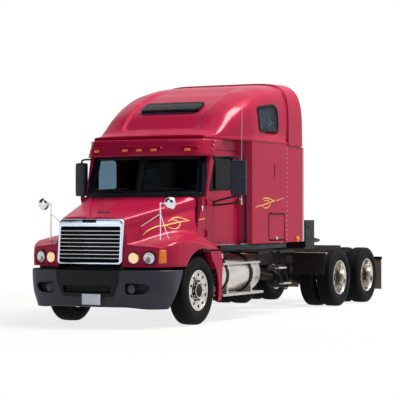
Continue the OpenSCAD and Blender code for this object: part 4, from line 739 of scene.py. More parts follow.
print("windscreen")
screenForm = dict(axis=-2630, radius=2400, sealZ=1908, lean=0.269, low=1962, high=2466, halfLow=900,
                  halfHigh=880, post=34, sealHalf=21, sealLift=8, cowl=(1884, 1946), cowlHalf=985)


def screenPoint(y, z, lift=0):  # a point on the windscreen's cone: radius shrinks with height
    s = screenForm
    r = s["radius"] - (z - s["sealZ"]) * s["lean"] + lift
    return np.stack([s["axis"] + np.sqrt(r ** 2 - y ** 2), y, z], -1)


def screenSeals():
    s = screenForm
    loop = roundedLoop([[s["post"], s["low"]], [s["halfLow"], s["low"]], [s["halfHigh"], s["high"]],
                        [s["post"], s["high"]]], 45, 22)
    path = screenPoint(loop[:, 0], loop[:, 1], -6)
    out = np.stack([np.ones(len(path)), path[:, 1] / s["radius"], np.full(len(path), 0.26)], -1)
    right = sweep(path, ring(12, s["sealHalf"], s["sealLift"], 0.6), out, loop=True)
    z = np.linspace(s["low"] - 20, s["high"] + 20, 24)
    bar = sweep(screenPoint(0 * z, z, -2), ring(12, 20, 10, 0.6), (1, 0, 0.26))
    return bothSides(right) + [bar]


makePiece("windscreenSeals", screenSeals(), "cab_shell", sealRubber)
z, y = np.meshgrid(np.linspace(*screenForm["cowl"], 7),
                   np.linspace(-screenForm["cowlHalf"], screenForm["cowlHalf"], 60), indexing="ij")
cowlSkin = screenPoint(y, z, 5 + 3 * np.cos(y / 9) * (np.abs(y) > 300))  # fluted either side of its middle
makePiece("cowlGrilleStrip", [patch(cowlSkin)], "cab_shell", blackPlastic, closed=False, wall=6)
wiperForm = dict(pivotZ=1925, tipZ=2000, bladeZ=1992, lean=(1, 0, 0.3))


def wiper(pivotY, tipY, restY):
    # an arm from its pivot up to the middle of a blade that lies along the foot of the glass
    w = wiperForm
    arm = np.linspace(0, 1, 12)
    y, z = mixed(pivotY, tipY, arm), mixed(w["pivotZ"], w["tipZ"], arm ** 0.7)
    rod = sweep(screenPoint(y, z, 22), ring(8, 7, 5), w["lean"], sizes=mixed(1.3, 0.8, arm))
    b = np.linspace(0, 1, 24)
    path = screenPoint(mixed(tipY - restY, tipY + restY, b), w["bladeZ"] + 14 * b * np.sign(restY), 6)
    blade = sweep(path, ring(8, 9, 14, 0.7), w["lean"], sizes=0.5 + 0.5 * np.sin(np.pi * b) ** 0.4)
    seat = screenPoint(np.array(pivotY * 1.0), np.array(w["pivotZ"] * 1.0), 12)
    knob = revolve([[-6, 0], [-6, 20], [10, 20], [18, 13], [22, 0]], seat, w["lean"], 16)
    return [rod, blade, knob]


makePiece("wipers", wiper(700, 380, 330) + wiper(-120, -470, 330), "cab_shell", blackPlastic)


print("doors")
doorForm = dict(half=1050, post=((-752, 1020, 1990), (-788, 1052, 2488)), lock=(-1470, 1049, 1730),
                paddle=((-1418, 1048, 1776), (-1502, 1079, 1819)),
                window=[[-545, 1975], [-748, 2490], [-1330, 2490], [-1390, 2440], [-1390, 2040],
                        [-1340, 2010]])
doorLoop = roundedLoop(doorForm["window"], 40, 20)
mirrorForm = dict(x=-862, y=1385, deep=48, wide=120, tall=272, middle=2170, corner=0.42, tube=15, turn=20,
                  feet=(1785, 2475), paneBack=46, paneHalf=96, paneTall=232, split=2128, arms=[
    [[-704, 1056, 2475], [-780, 1214, 2484], [-838, 1335, 2480], [-859, 1379, 2462], [-862, 1385, 2415]],
    [[-704, 1056, 1756], [-790, 1235, 1776], [-843, 1346, 1800], [-861, 1383, 1845], [-862, 1385, 1925]],
    [[-704, 1056, 1812], [-780, 1214, 1858], [-830, 1318, 1888], [-852, 1364, 1905]]])
for side, s in sides:
    node = "door_" + side
    path = np.stack([doorLoop[:, 0], 0 * doorLoop[:, 0] + s * (doorForm["half"] - 3), doorLoop[:, 1]], -1)
    seal = sweep(path, ring(10, 13, 7, 0.6), (0, s, 0), loop=True)
    way = np.array([1, s, 1])
    post = block(*(np.array(doorForm["post"]) * way), 5)
    makePiece("doorSeal_" + side, [seal, post], node, sealRubber)
    paddle = block(*(np.array(doorForm["paddle"]) * way), 9)
    lock = revolve([[0, 0], [0, 13], [6, 12], [8, 0]], doorForm["lock"] * way, (0, s, 0), 20)
    makePiece("doorHandle_" + side, [paddle, lock], node, blackPlastic)
    # mirror head: superellipse sections stacked upwards that close in at both ends, then turned
    u, v = np.meshgrid(np.linspace(0, 2 * np.pi, 56, endpoint=False), np.linspace(-1, 1, 41), indexing="ij")
    m = mirrorForm
    close = np.clip(1 - np.abs(v) ** 7, 0, 1) ** (1 / 4)
    cu, su = np.cos(u), np.sin(u)
    deepX = m["deep"] * signedPower(cu, m["corner"]) * (0.55 + 0.45 * close) * (close > 0)
    wideY = m["wide"] * signedPower(su, m["corner"]) * (0.8 + 0.2 * close) * (close > 0)

    def turned(x, y, z):
        c, d = math.cos(math.radians(m["turn"])), math.sin(math.radians(m["turn"]))
        return np.stack([m["x"] + c * x - d * y, s * (m["y"] + d * x + c * y), z], -1)

    tall = m["middle"] + m["tall"] * v
    head = patch(turned(deepX, wideY, tall), loopU=True)
    node = "door_mirror_" + side
    arms = []
    for points in m["arms"]:
        path = curve(np.array(points) * way, 40)
        arms.append(sweep(path, ring(12, m["tube"]), (0.9, 0.43 * s, 0)))
    feet = [block((-676, s * 1049, z - 34), (-732, s * 1064, z + 34), 8) for z in m["feet"]]
    makePiece("doorMirrorHead_" + side, [head], node, mirrorShellPlastic, replaced=(node,), angle=60)
    makePiece("doorMirrorArms_" + side, arms + feet, node, blackPlastic)
    g, h = np.meshgrid(np.linspace(-1, 1, 17), np.linspace(-1, 1, 33), indexing="ij")
    shape = (1 - np.abs(g) ** 8) ** 0.125
    paneZ = m["middle"] + m["paneTall"] * h * np.maximum(shape, 0.9)
    pane = patch(turned(-m["paneBack"] - 4 * (1 - g ** 2), m["paneHalf"] * g, paneZ))
    makePiece("doorMirrorGlass_" + side, [pane], node, mirrorGlass, closed=False, wall=3)
    split = turned(deepX[:, 20] + 0.4 * cu[:, 20], wideY[:, 20] + 0.4 * su[:, 20], 0 * u[:, 20] + m["split"])
    makePiece("doorMirrorSplit_" + side, [sweep(split, ring(6, 2.2, 3.5), (0, 0, 1), loop=True)], node,
              blackPlastic)


pillarForm = dict(low=1872, high=2556, sill=1915, doorLow=-446, doorHigh=-664, doorY=1046, bulge=0.55,
                  arc=24.2)


def pillarBend(z, t):  # quadratic curve in plan from the edge of the glass, t = 0, to the door, t = 1
    p = pillarForm
    r = screenForm["radius"] - (z - screenForm["sealZ"]) * screenForm["lean"]
    arc = math.radians(p["arc"])
    wallX, wallY = screenForm["axis"] + r * math.cos(arc) + 2, r * math.sin(arc)
    doorX = mixed(p["doorLow"], p["doorHigh"], np.clip((z - p["sill"]) / (p["high"] - p["sill"]), 0, 1))
    bendX = mixed((wallX + doorX) / 2, wallX, p["bulge"])
    bendY = mixed((wallY + p["doorY"]) / 2, p["doorY"], 0.9)
    x = (1 - t) ** 2 * wallX + 2 * t * (1 - t) * bendX + t ** 2 * doorX
    return x, (1 - t) ** 2 * wallY + 2 * t * (1 - t) * bendY + t ** 2 * p["doorY"]


t, v = np.meshgrid(np.linspace(0, 1, 12), np.linspace(0, 1, 26), indexing="ij")
z = mixed(pillarForm["low"], pillarForm["high"], v)
pillar = patch(np.stack([*pillarBend(z, t), z], -1))
for (side, _), part in zip(sides, bothSides(pillar)):
    makePiece("screenPillar_" + side, [part], "cab_shell", paint, closed=False, inside=(-900, 0, 2200),
              wall=10)


def screenBand():
    # the printed rim of the glass: the windscreen's cone run on round the front half of each pillar
    s, b = screenForm, dict(low=1897, high=2490, share=0.42, lift=7, bar=30)
    z = np.linspace(b["low"], b["high"], 60)[:, None]
    r = s["radius"] - (z - s["sealZ"]) * s["lean"] + b["lift"]
    a = np.linspace(0, math.radians(pillarForm["arc"]), 60)[None]
    cone = np.stack([s["axis"] + r * np.cos(a), r * np.sin(a), np.broadcast_to(z, (60, 60))], -1)
    t = np.linspace(0, b["share"], 8)[None, 1:]
    x, y = pillarBend(z, t)
    x, y = x + b["lift"] * (1 - t * 0.5), y + b["lift"] * (0.4 + t)
    bend = np.stack([x, y, np.broadcast_to(z, x.shape)], -1)

    def rim(c):
        y, z = np.abs(c[:, 1]), c[:, 2]
        wide = mixed(s["halfLow"], s["halfHigh"], np.clip((z - s["low"]) / (s["high"] - s["low"]), 0, 1))
        return ~((z > s["low"]) & (z < s["high"]) & (y < wide) & (y > b["bar"]))

    return patch(wholeOf(np.concatenate([cone, bend], 1)), keep=rim)


makePiece("windscreenPrintedRim", [screenBand()], "cab_shell", fritGlass, closed=False,
          inside=(-1500, 0, 2200), wall=4)


print("roof trim")
trimForm = dict(
    foilX=(-2730, -1900), foilZ=(2905, 3415), foilBack=58, foilCrease=7, blindX=(-1160, -1500), blindHalf=560,
    blindDrop=95, lid=[[-2322, 1212], [-2322, 1628], [-2918, 1628], [-2918, 1212]], flank=1214.5,
    latch=((-2586, 1212, 1213), (-2654, 1225, 1259)), rivetX=-3030, rivetLow=(1205, 2745, 78.0),
    rivetHigh=(2830, 3500, 84.0), edge=((-3658, 1179, 1166), (-3722, 1219, 2732)),
    joint=((-3064, 1180, 2734), (-3600, 1209, 2754)), sill=((-640, 1010, 1078), (-3050, 1190, 1153)),
    lamp=(-3450, 1211, 1210),
    growth=[[0.998, -2994], [1.004, -3008], [1.0055, -3040], [1.0065, -3100], [1.006, -3116], [0.996, -3120]],
)
f = trimForm
for side, s in sides:
    loop = roundedLoop(roofForm["window"], 60, 24)
    path = np.stack([loop[:, 0], s * roofSide(loop[:, 0], loop[:, 1], 1), loop[:, 1]], -1)
    makePiece("sleeperWindowSeal_" + side, [sweep(path, ring(12, 24, 11, 0.6), (0, s, 0.25), loop=True)],
              "roof_cap", sealRubber)
loop = roundedLoop(roofForm["skylight"], 50, 24)
path = np.stack([loop[:, 0] - 6, loop[:, 1], roofTop(loop[:, 0], loop[:, 1]) - 12], -1)
makePiece("skylightSeal", [sweep(path, ring(12, 17, 20, 0.6), (0.46, 0, 0.88), loop=True)], "roof_cap",
          sealRubber)
# crumpled foil: sums of sines that bend one another, standing off the inside of the roof's wall
u, v = np.meshgrid(np.linspace(*f["foilX"], 84), np.linspace(*f["foilZ"], 56), indexing="ij")
crease = (np.sin(u / 31 + 1.7 * np.sin(v / 53)) + np.sin(v / 23 + 2.1 * np.sin(u / 67)) +
          0.7 * np.sin((u + v) / 17 + np.sin((u - v) / 41)))
for side, s in sides:
    sheet = patch(np.stack([u, s * (roofSide(u, v) - f["foilBack"] + f["foilCrease"] * crease), v], -1))
    makePiece("sunshadeFoil_" + side, [sheet], "roof_cap", foil, closed=False, inside=(-2300, 0, 3150),
              wall=1)
# a blind under the skylight in the dark lining cloth, so that the skylight shows painted shade of the unlit
# roof inside
u, v = np.meshgrid(np.linspace(*f["blindX"], 30), np.linspace(-f["blindHalf"], f["blindHalf"], 60),
                   indexing="ij")
blind = np.stack([u, v, roofTop(u, v) - f["blindDrop"] - 3 * np.cos(u / 9)], -1)
makePiece("skylightBlind", [patch(blind)], "roof_cap", lining, closed=False, inside=(-1300, 0, 2600), wall=3)
lidLoop = roundedLoop(f["lid"], 45, 24)
for side, s in sides:
    path = np.stack([lidLoop[:, 0], 0 * lidLoop[:, 0] + s * f["flank"], lidLoop[:, 1]], -1)
    makePiece("luggageGasket_" + side, [sweep(path, ring(10, 10, 5, 0.7), (0, s, 0), loop=True)],
              "luggage_door_" + side, sealRubber)
    makePiece("luggageLatch_" + side, [block(*(np.array(f["latch"]) * [1, s, 1]), 5)], "luggage_door_" + side,
              stepAlloy)
rivetZ, rivetTop = np.arange(*f["rivetLow"]), np.arange(*f["rivetHigh"])
topX = 0 * rivetTop + f["rivetX"]
rows = np.concatenate([np.stack([0 * rivetZ + f["rivetX"], 0 * rivetZ + f["flank"], rivetZ], -1),
                       np.stack([topX, roofSide(topX, rivetTop, -1), rivetTop], -1)])
makePiece("sleeperRivets", bothSides(domes(rows, (0, 1, 0), 9, 5)), "sleeper_shell", stepAlloy)
# weather strip: the roof's last section, grown a little in each row
turn = np.radians(np.linspace(0, 180, 121))
base, high, p = roofSize(np.array([roofForm["back"] * 1.0]))
curb, seamZ = roofForm["curb"], roofForm["seam"]
profileY = base * signedPower(np.cos(turn), p)
profileZ = seamZ + curb + (high - curb) * np.sin(turn) ** (p + roofForm["flat"])
growth = np.array(f["growth"])
weather = np.stack([np.broadcast_to(growth[:, 1:], (len(growth), len(turn))), profileY * growth[:, :1],
                    seamZ + (profileZ - seamZ) * growth[:, :1]], -1)
makePiece("roofWeatherStrip", [patch(weather)], "roof_cap", paint, closed=False, inside=(-3040, 0, 2800),
          wall=3)
makePiece("extenderEdgeStrips", bothSides(block(*f["edge"], 8)), "side_extenders", stepAlloy)
makePiece("extenderJoints", bothSides(block(*f["joint"], 3)), "side_extenders", paint)
makePiece("underCabSills", bothSides(block(*f["sill"], 8)), "cab_shell", blackPlastic)
cornerLamp = revolve([[0, 0], [0, 46], [10, 46], [22, 38], [30, 22], [33, 0]], f["lamp"], (0, 1, 0), 28)
makePiece("extenderLamps", bothSides(cornerLamp), "side_extenders", amberLens)


print("visor")
visorForm = dict(nose=-238, radius=4000, low=2498, high=2754, lean=96, straight=811, corner=330, side=-644.3,
                 cheek=744, turn=11.7, tail=-985, wing=-600, browLow=2592, browHigh=2640,
                 screws=[[-712, 1073.5, 2730], [-650, 1073.5, 2664], [-606, 1073.5, 2600]])


def visorPoint(y, z, lift=0):
    # the visor's face: an arc in plan that turns a corner and leans back as it rises
    v = visorForm
    arc = v["nose"] - v["radius"] + np.sqrt(v["radius"] ** 2 - np.minimum(np.abs(y), v["straight"]) ** 2)
    bend = np.clip(np.abs(y) - v["cheek"], 0, v["corner"])
    x = np.where(np.abs(y) < v["straight"], arc, v["side"] + np.sqrt(v["corner"] ** 2 - bend ** 2))
    return np.stack([x + lift - v["lean"] * (z - v["low"]) / (v["high"] - v["low"]), y, z], -1)


def visorSkin():
    # plan path: front arc, corner, straight cheek; rows rise from the lower edge and lean in, and both
    # edges turn inwards; on the cheek the lower edge climbs to the tail
    v = visorForm
    a = np.radians(np.linspace(0, v["turn"], 34))
    c = np.radians(np.linspace(v["turn"], 90, 26))[1:]
    cheek = np.linspace(v["side"], v["tail"], 22)[1:]
    x = np.concatenate([v["nose"] - v["radius"] * (1 - np.cos(a)), v["side"] + v["corner"] * np.cos(c),
                        cheek])
    y = np.concatenate([v["radius"] * np.sin(a), v["cheek"] + v["corner"] * np.sin(c),
                        0 * cheek + v["cheek"] + v["corner"]])
    angle = np.concatenate([a, c, 0 * cheek + np.pi / 2])
    low = np.interp(-x, [-v["wing"], -v["tail"]], [v["low"], v["high"] - 4])
    rows = np.array([[60, 0], [14, 0], [4, 0.008], [0, 0.035], [0, 0.25], [0, 0.5], [0, 0.75], [0, 0.965],
                     [4, 0.992], [14, 1], [170, 1]])  # inset in mm, share of the height
    share = rows[:, 1][:, None]
    face = np.sqrt(np.clip(np.cos(angle), 0, 1))
    inset = np.minimum(rows[:, :1], 24 + 150 * face) + v["lean"] * share * face
    grid = np.stack([x - inset * np.cos(angle), y - inset * np.sin(angle), mixed(low, v["high"], share)], -1)
    return patch(wholeOf(grid))


makePiece("visorSkin", [visorSkin()], "visor", paint, closed=False, angle=55, replaced=("visor",),
          inside=(-900, 0, 2620), wall=6)


def brow(y0, y1):  # a rib that rises over a marker lamp and fades at both ends
    low, high = visorForm["browLow"], visorForm["browHigh"]
    p = curve([[y0, low], [y0 + 12, low + 30], [y0 + 50, high - 3], [(y0 + y1) / 2, high],
               [y1 - 50, high - 3], [y1 - 12, low + 30], [y1, low]], 48)
    return sweep(visorPoint(p[:, 0], p[:, 1], -3), ring(10, 11, 14), (1, 0, 0.4),
                 sizes=0.35 + 0.65 * np.sin(np.linspace(0, np.pi, 48)) ** 0.3)


makePiece("visorBrows", [brow(-370, 370), brow(650, 930), brow(-930, -650)], "visor", paint)
makePiece("visorScrews", bothSides(domes(visorForm["screws"], (0, 1, 0), 10, 6)), "visor", stepAlloy)


print("lamps")
lampForm = dict(markers=(-788, -250, 0, 250, 788), markerZ=2586, fogY=680, fogZ=564, fogX=1155, fogR=66,
                heads=((690, 73, "inner"), (905, 88, "outer")), headZ=1000, tailX=-7255,
                tailY=(-330, -200, 200, 330), tailZ=885, plug=(-2960, 1215.2, 1197),
                corner=(968, 1082, 1025), cornerOut=40, cornerTurn=48, cornerHalf=64, cornerTall=96)


def markerLamp(y, lift, half, tall, deep):
    # a rounded block turned to follow the visor's arc
    points, faces = block((-deep, -half, -tall), (deep, half, tall), 7)
    a = math.asin(y / visorForm["radius"])
    spun = np.stack([points[:, 0] * math.cos(a) - points[:, 1] * math.sin(a),
                     points[:, 0] * math.sin(a) + points[:, 1] * math.cos(a), points[:, 2]], -1)
    return spun + visorPoint(np.array(y * 1.0), np.array(lampForm["markerZ"] * 1.0), lift), faces


markers = [markerLamp(y, 14, 45, 19, 14) for y in lampForm["markers"]]
makePiece("visorMarkerLamps", markers, "chassis_lamps", amberLens, replaced=("chassis_lamps",))
bases = [markerLamp(y, 2, 54, 26, 6) for y in lampForm["markers"]]
makePiece("visorMarkerBases", bases, "chassis_lamps", paint)
plugs = revolve([[0, 0], [0, 26], [10, 26], [15, 20], [16, 0]], lampForm["plug"], (0, 1, 0), 24)
makePiece("sleeperPlugs", bothSides(plugs), "chassis_lamps", paint)


def roundLamp(x, y, z, r, deep=44, way=(1, 0, 0)):
    # bezel ring, parabolic bowl and bowed lens, all turned about the lamp's axis
    t = np.linspace(0, 1, 14)
    bezel = revolve([[-16, r - 3], [2, r + 5], [9, r + 3], [10, r - 2], [3, r - 7], [-16, r - 8]], (x, y, z),
                    way, 56, closed=True)
    bowl = revolve(np.stack([-deep + deep * t ** 2, (r - 7) * t], -1), (x, y, z), way, 56)
    outer = np.stack([4 + 13 * (1 - t ** 2), (r - 5) * t], -1)
    inner = np.stack([1 + 12 * (1 - t ** 2), (r - 5) * t], -1)[::-1]
    lens = revolve(np.vstack([outer, inner]), (x, y, z), way, 56)
    bulb = revolve([[-deep, 7], [-deep * 0.5, 7], [-deep * 0.36, 4], [-deep * 0.3, 0]], (x, y, z), way, 16)
    return bezel, bowl, lens, bulb


skinPoints = meshPoints(hoodSkin.data)


def seatOnHood(y, z, r):  # the plane that best fits the skin under a lamp, moved out until it clears it
    near = skinPoints[(np.hypot(skinPoints[:, 1] - y, skinPoints[:, 2] - z) < r) & (skinPoints[:, 0] > 850)]
    plane = np.linalg.lstsq(np.column_stack([near[:, 1] - y, near[:, 2] - z, np.ones(len(near))]), near[:, 0],
                            rcond=None)[0]
    bulge = (near[:, 0] - near[:, 1:] @ plane[:2] + plane[:2] @ (y, z) - plane[2]).max()
    return plane[2] + bulge, (1, -plane[0] * 0.8, 0)


for k, (y, r, name) in enumerate(lampForm["heads"]):
    seat, way = seatOnHood(y, lampForm["headZ"], r)
    bezel, bowl, lens, bulb = roundLamp(seat + 13, y, lampForm["headZ"], r, 14, way)
    first = ("hood_lamps",) if k == 0 else ()
    makePiece("headlampBezels_" + name, bothSides(bezel), "hood_lamps", blackPlastic if k else chrome,
              replaced=first)
    makePiece("headlampBowls_" + name, bothSides(bowl) + bothSides(bulb), "hood_lamps", lampSilver,
              closed=False)
    makePiece("headlampLenses_" + name, bothSides(lens), "hood_lamps", clearLens if k else warmLens)
fogs = roundLamp(lampForm["fogX"], lampForm["fogY"], lampForm["fogZ"], lampForm["fogR"])
for part, name, material in zip(fogs, ("Bezels", "Bowls", "Lenses", "Bulbs"),
                                (blackPlastic, lampSilver, fogGlass, chrome)):
    makePiece("fogLamp" + name, bothSides(part), "chassis_lamps", material, closed=name != "Bowls")
f = lampForm
tails = [block((f["tailX"] - 13, y - 50, f["tailZ"] - 49), (f["tailX"] - 44, y + 50, f["tailZ"] + 49), 12)
         for y in f["tailY"]]
makePiece("tailLamps", tails, "chassis_lamps", redLens)
# amber corner lamp: a flat oblong laid on the bend of the fender and given a wall
u, v = np.meshgrid(np.linspace(-f["cornerHalf"], f["cornerHalf"], 21),
                   np.linspace(-f["cornerTall"], f["cornerTall"], 31), indexing="ij")
cut = 1 - 0.12 * np.maximum(np.abs(v) / f["cornerTall"] - 0.85, 0) / 0.15
cosTurn, sinTurn = math.cos(math.radians(f["cornerTurn"])), math.sin(math.radians(f["cornerTurn"]))
flat = patch(np.stack([f["corner"][0] + f["cornerOut"] * cosTurn - u * cut * sinTurn,
                       f["corner"][1] + f["cornerOut"] * sinTurn + u * cut * cosTurn,
                       f["corner"][2] + v], -1))
for (side, _), part in zip(sides, bothSides(flat)):
    lamp = makePiece("cornerLamp_" + side, [part], "hood_lamps", amberLens, closed=False)
    thicken(layOn(lamp, hoodSkin, 5), 9)


print("nose and bumper")
noseForm = dict(front=1285, arc=2400, top=826, plateY=100, plateZ=411, plateHalf=153, plateTall=76,
                lean=([0, 130, 330, 530], [0, 0, 16, 88]), podMiddle=(760.0, 566.0),
                pod=[[590, 656], [930, 636], [960, 566], [860, 486], [600, 476]])


def bumperFace(y, z):  # the bumper's front: an arc in plan whose lower half leans back
    n = noseForm
    lean = np.interp(n["top"] - z, *n["lean"])
    return n["front"] - (n["arc"] - np.sqrt(n["arc"] ** 2 - y ** 2)) - lean


def onBumper(line, lift):  # a line of (y, z) points laid on the bumper's front
    return np.column_stack([bumperFace(line[:, 0], line[:, 1]) + lift, line])


bumperForm = dict(half=1190, corner=410, tail=160, cut=270, heel=40, dip=26, tall=530, columns=120, wall=8,
                  insert=[[-524, 840], [524, 840], [504, 646], [413, 453], [-413, 453], [-504, 646]],
                  edge=[[60, 0], [14, 0], [4, 3], [0, 12]], foot=[[92, 527], [104, 530], [150, 530]])


def bumperSkin():
    # rows of one section (inset, drop) carried round an arc, a corner and a straight return; each row's
    # return ends further forward the lower it is, so that the end is cut slantwise
    b, n = bumperForm, noseForm
    drop = np.linspace(20, 522, 40)
    lean = np.interp(drop, *n["lean"])
    lean = np.convolve(np.pad(lean, 4, "edge"), np.ones(9) / 9, "valid")
    rows = np.concatenate([b["edge"], np.stack([lean, drop], -1), b["foot"]])
    turn = math.asin((b["half"] - b["corner"]) / (n["arc"] - b["corner"]))
    spinX = n["front"] - n["arc"] + (n["arc"] - b["corner"]) * math.cos(turn)
    bend = n["arc"] * turn
    total = bend + b["corner"] * (math.pi / 2 - turn) + b["tail"]
    fall = rows[:, 1:] / b["tall"]
    reach = total - b["cut"] * fall ** 1.15
    reach = reach - b["heel"] * (1 - np.sqrt(1 - np.clip((fall - 0.86) / 0.15, 0, 1) ** 2))
    along = np.linspace(0, 1, b["columns"])[None] * reach
    cornerAngle = np.minimum(turn + (along - bend) / b["corner"], math.pi / 2)
    angle = np.where(along < bend, along / n["arc"], cornerAngle)
    r = np.where(along < bend, n["arc"], b["corner"]) - rows[:, :1]
    x = np.where(along < bend, n["front"] - n["arc"], spinX) + r * np.cos(angle)
    x = x - np.maximum(along - total + b["tail"], 0)
    y = np.where(along < bend, 0, b["half"] - b["corner"]) + r * np.sin(angle)
    z = n["top"] - rows[:, 1:] - b["dip"] * ease(along, 560, 960) * ease(fall, 0.6, 1.0)

    def closedFace(c):
        front = c[:, 0] > 700
        pods = insideLoop(np.column_stack([np.abs(c[:, 1]), c[:, 2]]), podLoop)
        return ~(front & (pods | insideLoop(c[:, 1:], b["insert"])))

    return patch(wholeOf(np.stack([x, y, z], -1)), keep=closedFace)


podLoop = roundedLoop(noseForm["pod"], 60, 16)
makePiece("bumperSkin", [bumperSkin()], "bumper", bumperPlastic, closed=False, angle=50, replaced=("bumper",),
          inside=(900, 0, 560), wall=bumperForm["wall"])
seam = evenly(bumperForm["insert"] + bumperForm["insert"][:1], 20)
seam = seam[seam[:, 1] < noseForm["top"] - 4]
makePiece("bumperInsertSeam", [sweep(onBumper(seam, -1), ring(8, 10, 6), (1, 0, 0))], "bumper", blackPlastic)
middle = np.array(noseForm["podMiddle"])
shrink = np.array([1.02, 0.99, 0.95, 0.88, 0.7, 0.4, 0.0])[:, None, None]
depth = np.array([0, -8, -40, -62, -74, -80, -82.0])[:, None]
podYz = middle + (podLoop[None] - middle) * shrink
podX = bumperFace(podYz[..., 0], podYz[..., 1]) + depth - 2
pod = patch(np.concatenate([podX[..., None], podYz], -1), loopV=True)
rim = sweep(onBumper(podLoop, 1), ring(8, 8, 5), (1, 0, 0), loop=True)
makePiece("fogLampPods", bothSides(pod), "bumper", blackPlastic, closed=False)
makePiece("fogLampPodRims", bothSides(rim), "bumper", bumperPlastic)
intakeForm = dict(half=415, low=488, high=618, back=56, flute=5, pitch=26,
                  lip=[[-400, 496], [400, 496], [400, 611], [-400, 611]])
f = intakeForm  # slats: a corrugated sheet behind the opening
z, y = np.meshgrid(np.linspace(f["low"], f["high"], 6), np.linspace(-f["half"], f["half"], 280),
                   indexing="ij")
slats = np.stack([bumperFace(y, z) - f["back"] + f["flute"] * np.cos(y * 2 * np.pi / f["pitch"]), y, z], -1)
makePiece("bumperIntakeSlats", [patch(slats)], "bumper_insert", blackPlastic, closed=False, wall=4)
lip = onBumper(roundedLoop(f["lip"], 24, 16), 1)
makePiece("bumperIntakeLip", [sweep(lip, ring(8, 9, 6), (1, 0, 0), loop=True)], "bumper_insert", blackPlastic)
plateY, plateZ, plateHalf, plateTall = (noseForm["plate" + k] for k in ("Y", "Z", "Half", "Tall"))
plateX = float(bumperFace(np.array(plateY * 1.0), np.array(plateZ + 70.0))) + 26
plateBody = block((plateX, plateY - plateHalf, plateZ - plateTall),
                  (plateX + 4, plateY + plateHalf, plateZ + plateTall), 2)
makePiece("blankPlate", [plateBody], "bumper", plateEnamel)
makePiece("plateHolder", [block((plateX - 70, plateY - 120, plateZ - 50),
                                (plateX - 1, plateY + 120, plateZ + 60), 6)], "bumper", blackPlastic)
holes = np.array([[plateX + 3.5, plateY + dy, plateZ + 58] for dy in (-90, 90)])
makePiece("plateScrews", [domes(holes, (1, 0, 0), 8, 5)], "bumper", stepAlloy)
grilleForm = dict(outer=(540, 904, 1556, 60), inner=(496, 936, 1440, 26), first=993.6, pitch=55.56, bars=8,
                  barHalf=500, finHalf=512, finZ=(922, 1452), finBack=26, finDeep=4, finPitch=34,
                  recessHalf=118, recessTall=24, recessZ=1523,
                  rise=[[0, -2], [0.05, 16], [0.13, 28], [0.3, 33], [0.8, 34], [0.94, 31], [1, 22],
                        [1.02, -16]])


def grilleLoop(half, low, high, r):  # a rounded oblong with the same points on each side for any size
    q = np.linspace(0, np.pi / 2, 9)
    bends = [np.stack([cy + r * np.cos(q + k * np.pi / 2), cz + r * np.sin(q + k * np.pi / 2)], -1)
             for k, (cy, cz) in enumerate([(half - r, high - r), (r - half, high - r), (r - half, low + r),
                                           (half - r, low + r)])]
    runs = [np.linspace(bends[k][-1], bends[(k + 1) % 4][0], 26)[1:-1] for k in range(4)]
    return np.concatenate([piece for pair in zip(bends, runs) for piece in pair])


shareOut, riseOut = np.array(grilleForm["rise"]).T
outer, inner = grilleLoop(*grilleForm["outer"])[None], grilleLoop(*grilleForm["inner"])[None]
band = mixed(outer, inner, shareOut[:, None, None])
frameSkin = np.concatenate([(hoodFace(band[..., 0], band[..., 1]) + riseOut[:, None])[..., None], band], -1)
grilleFrame = makePiece("grilleSurround", [patch(frameSkin, loopV=True)], "grille", grillePlating,
                        closed=False, replaced=("grille",), inside=(900, 0, 1200), wall=3)
f = grilleForm
across = np.linspace(-f["barHalf"], f["barHalf"], 40)
bars = [sweep(np.stack([hoodFace(across, 0 * across + z) + 10, across, 0 * across + z], -1), ring(16, 15, 9))
        for z in f["first"] + f["pitch"] * np.arange(f["bars"])]
makePiece("grilleBars", bars, "grille", chrome)
y, z = np.meshgrid(np.linspace(-f["finHalf"], f["finHalf"], 240), np.linspace(*f["finZ"], 8), indexing="ij")
finX = hoodFace(y, z) - f["finBack"] + f["finDeep"] * np.cos(y * 2 * np.pi / f["finPitch"])
fins = np.stack([finX, y, z], -1)
makePiece("grilleScreen", [patch(fins)], "grille", sealRubber, closed=False, inside=(600, 0, 1200), wall=3)
# a black rubber tube closes the gap between the bumper top and the hood; its black also stands in as painted
# shade in that gap
sealForm = dict(half=1000, front=1120, bow=4300, z=838)
y = np.linspace(-sealForm["half"], sealForm["half"], 60)
path = np.stack([sealForm["front"] - y ** 2 / sealForm["bow"], y, 0 * y + sealForm["z"]], -1)
filler = sweep(path, ring(14, 30, 30, 0.4))
makePiece("bumperTopSealAndGapShade", [filler], "bumper", sealRubber)
half, tall = f["recessHalf"], f["recessTall"]
u, v = np.meshgrid(np.linspace(-half, half, 41), np.linspace(-tall, tall, 9), indexing="ij")
oblong = np.stack([0 * u + 1300, u * (1 - 0.05 * (v / tall) ** 2), f["recessZ"] + v], -1)
recess = makePiece("grilleTopRecess", [patch(oblong)], "grille", blackPlastic, closed=False)
thicken(layOn(recess, grilleFrame, 2, "x"), 4)
slot = np.stack([0 * u + hoodForm["gripX"] + v * 0.7, u * 0.85, 0 * u + 1700], -1)
grip = makePiece("hoodGripSlot", [patch(slot)], "hood", blackPlastic, closed=False)
thicken(layOn(grip, hoodSkin, 1.5), 3)
catchForm = dict(hook=((-292, 1046, 1716), (-330, 1066, 1748)),
                 strap=((-300, 1050, 1672), (-322, 1062, 1720)))
catch = [block(*catchForm["hook"], 6), block(*catchForm["strap"], 4)]
makePiece("hoodCatches", bothSides(*catch), "cab_shell", chrome)
roundMirror = dict(centre=(718, 1067, 1772), pane=[[0, 0], [-7, 0], [-6, 30], [-3, 62], [0, 85], [3, 85]])
glass = revolve(roundMirror["pane"], roundMirror["centre"], (1, 0, 0), 48)
makePiece("hoodMirrorGlass", bothSides(glass), "hood_mirrors", mirrorGlass)


print("stripes")
stripeForm = dict(width=17, lift=1.2, film=0.8, sleeperY=1215.8, reachY=1400)


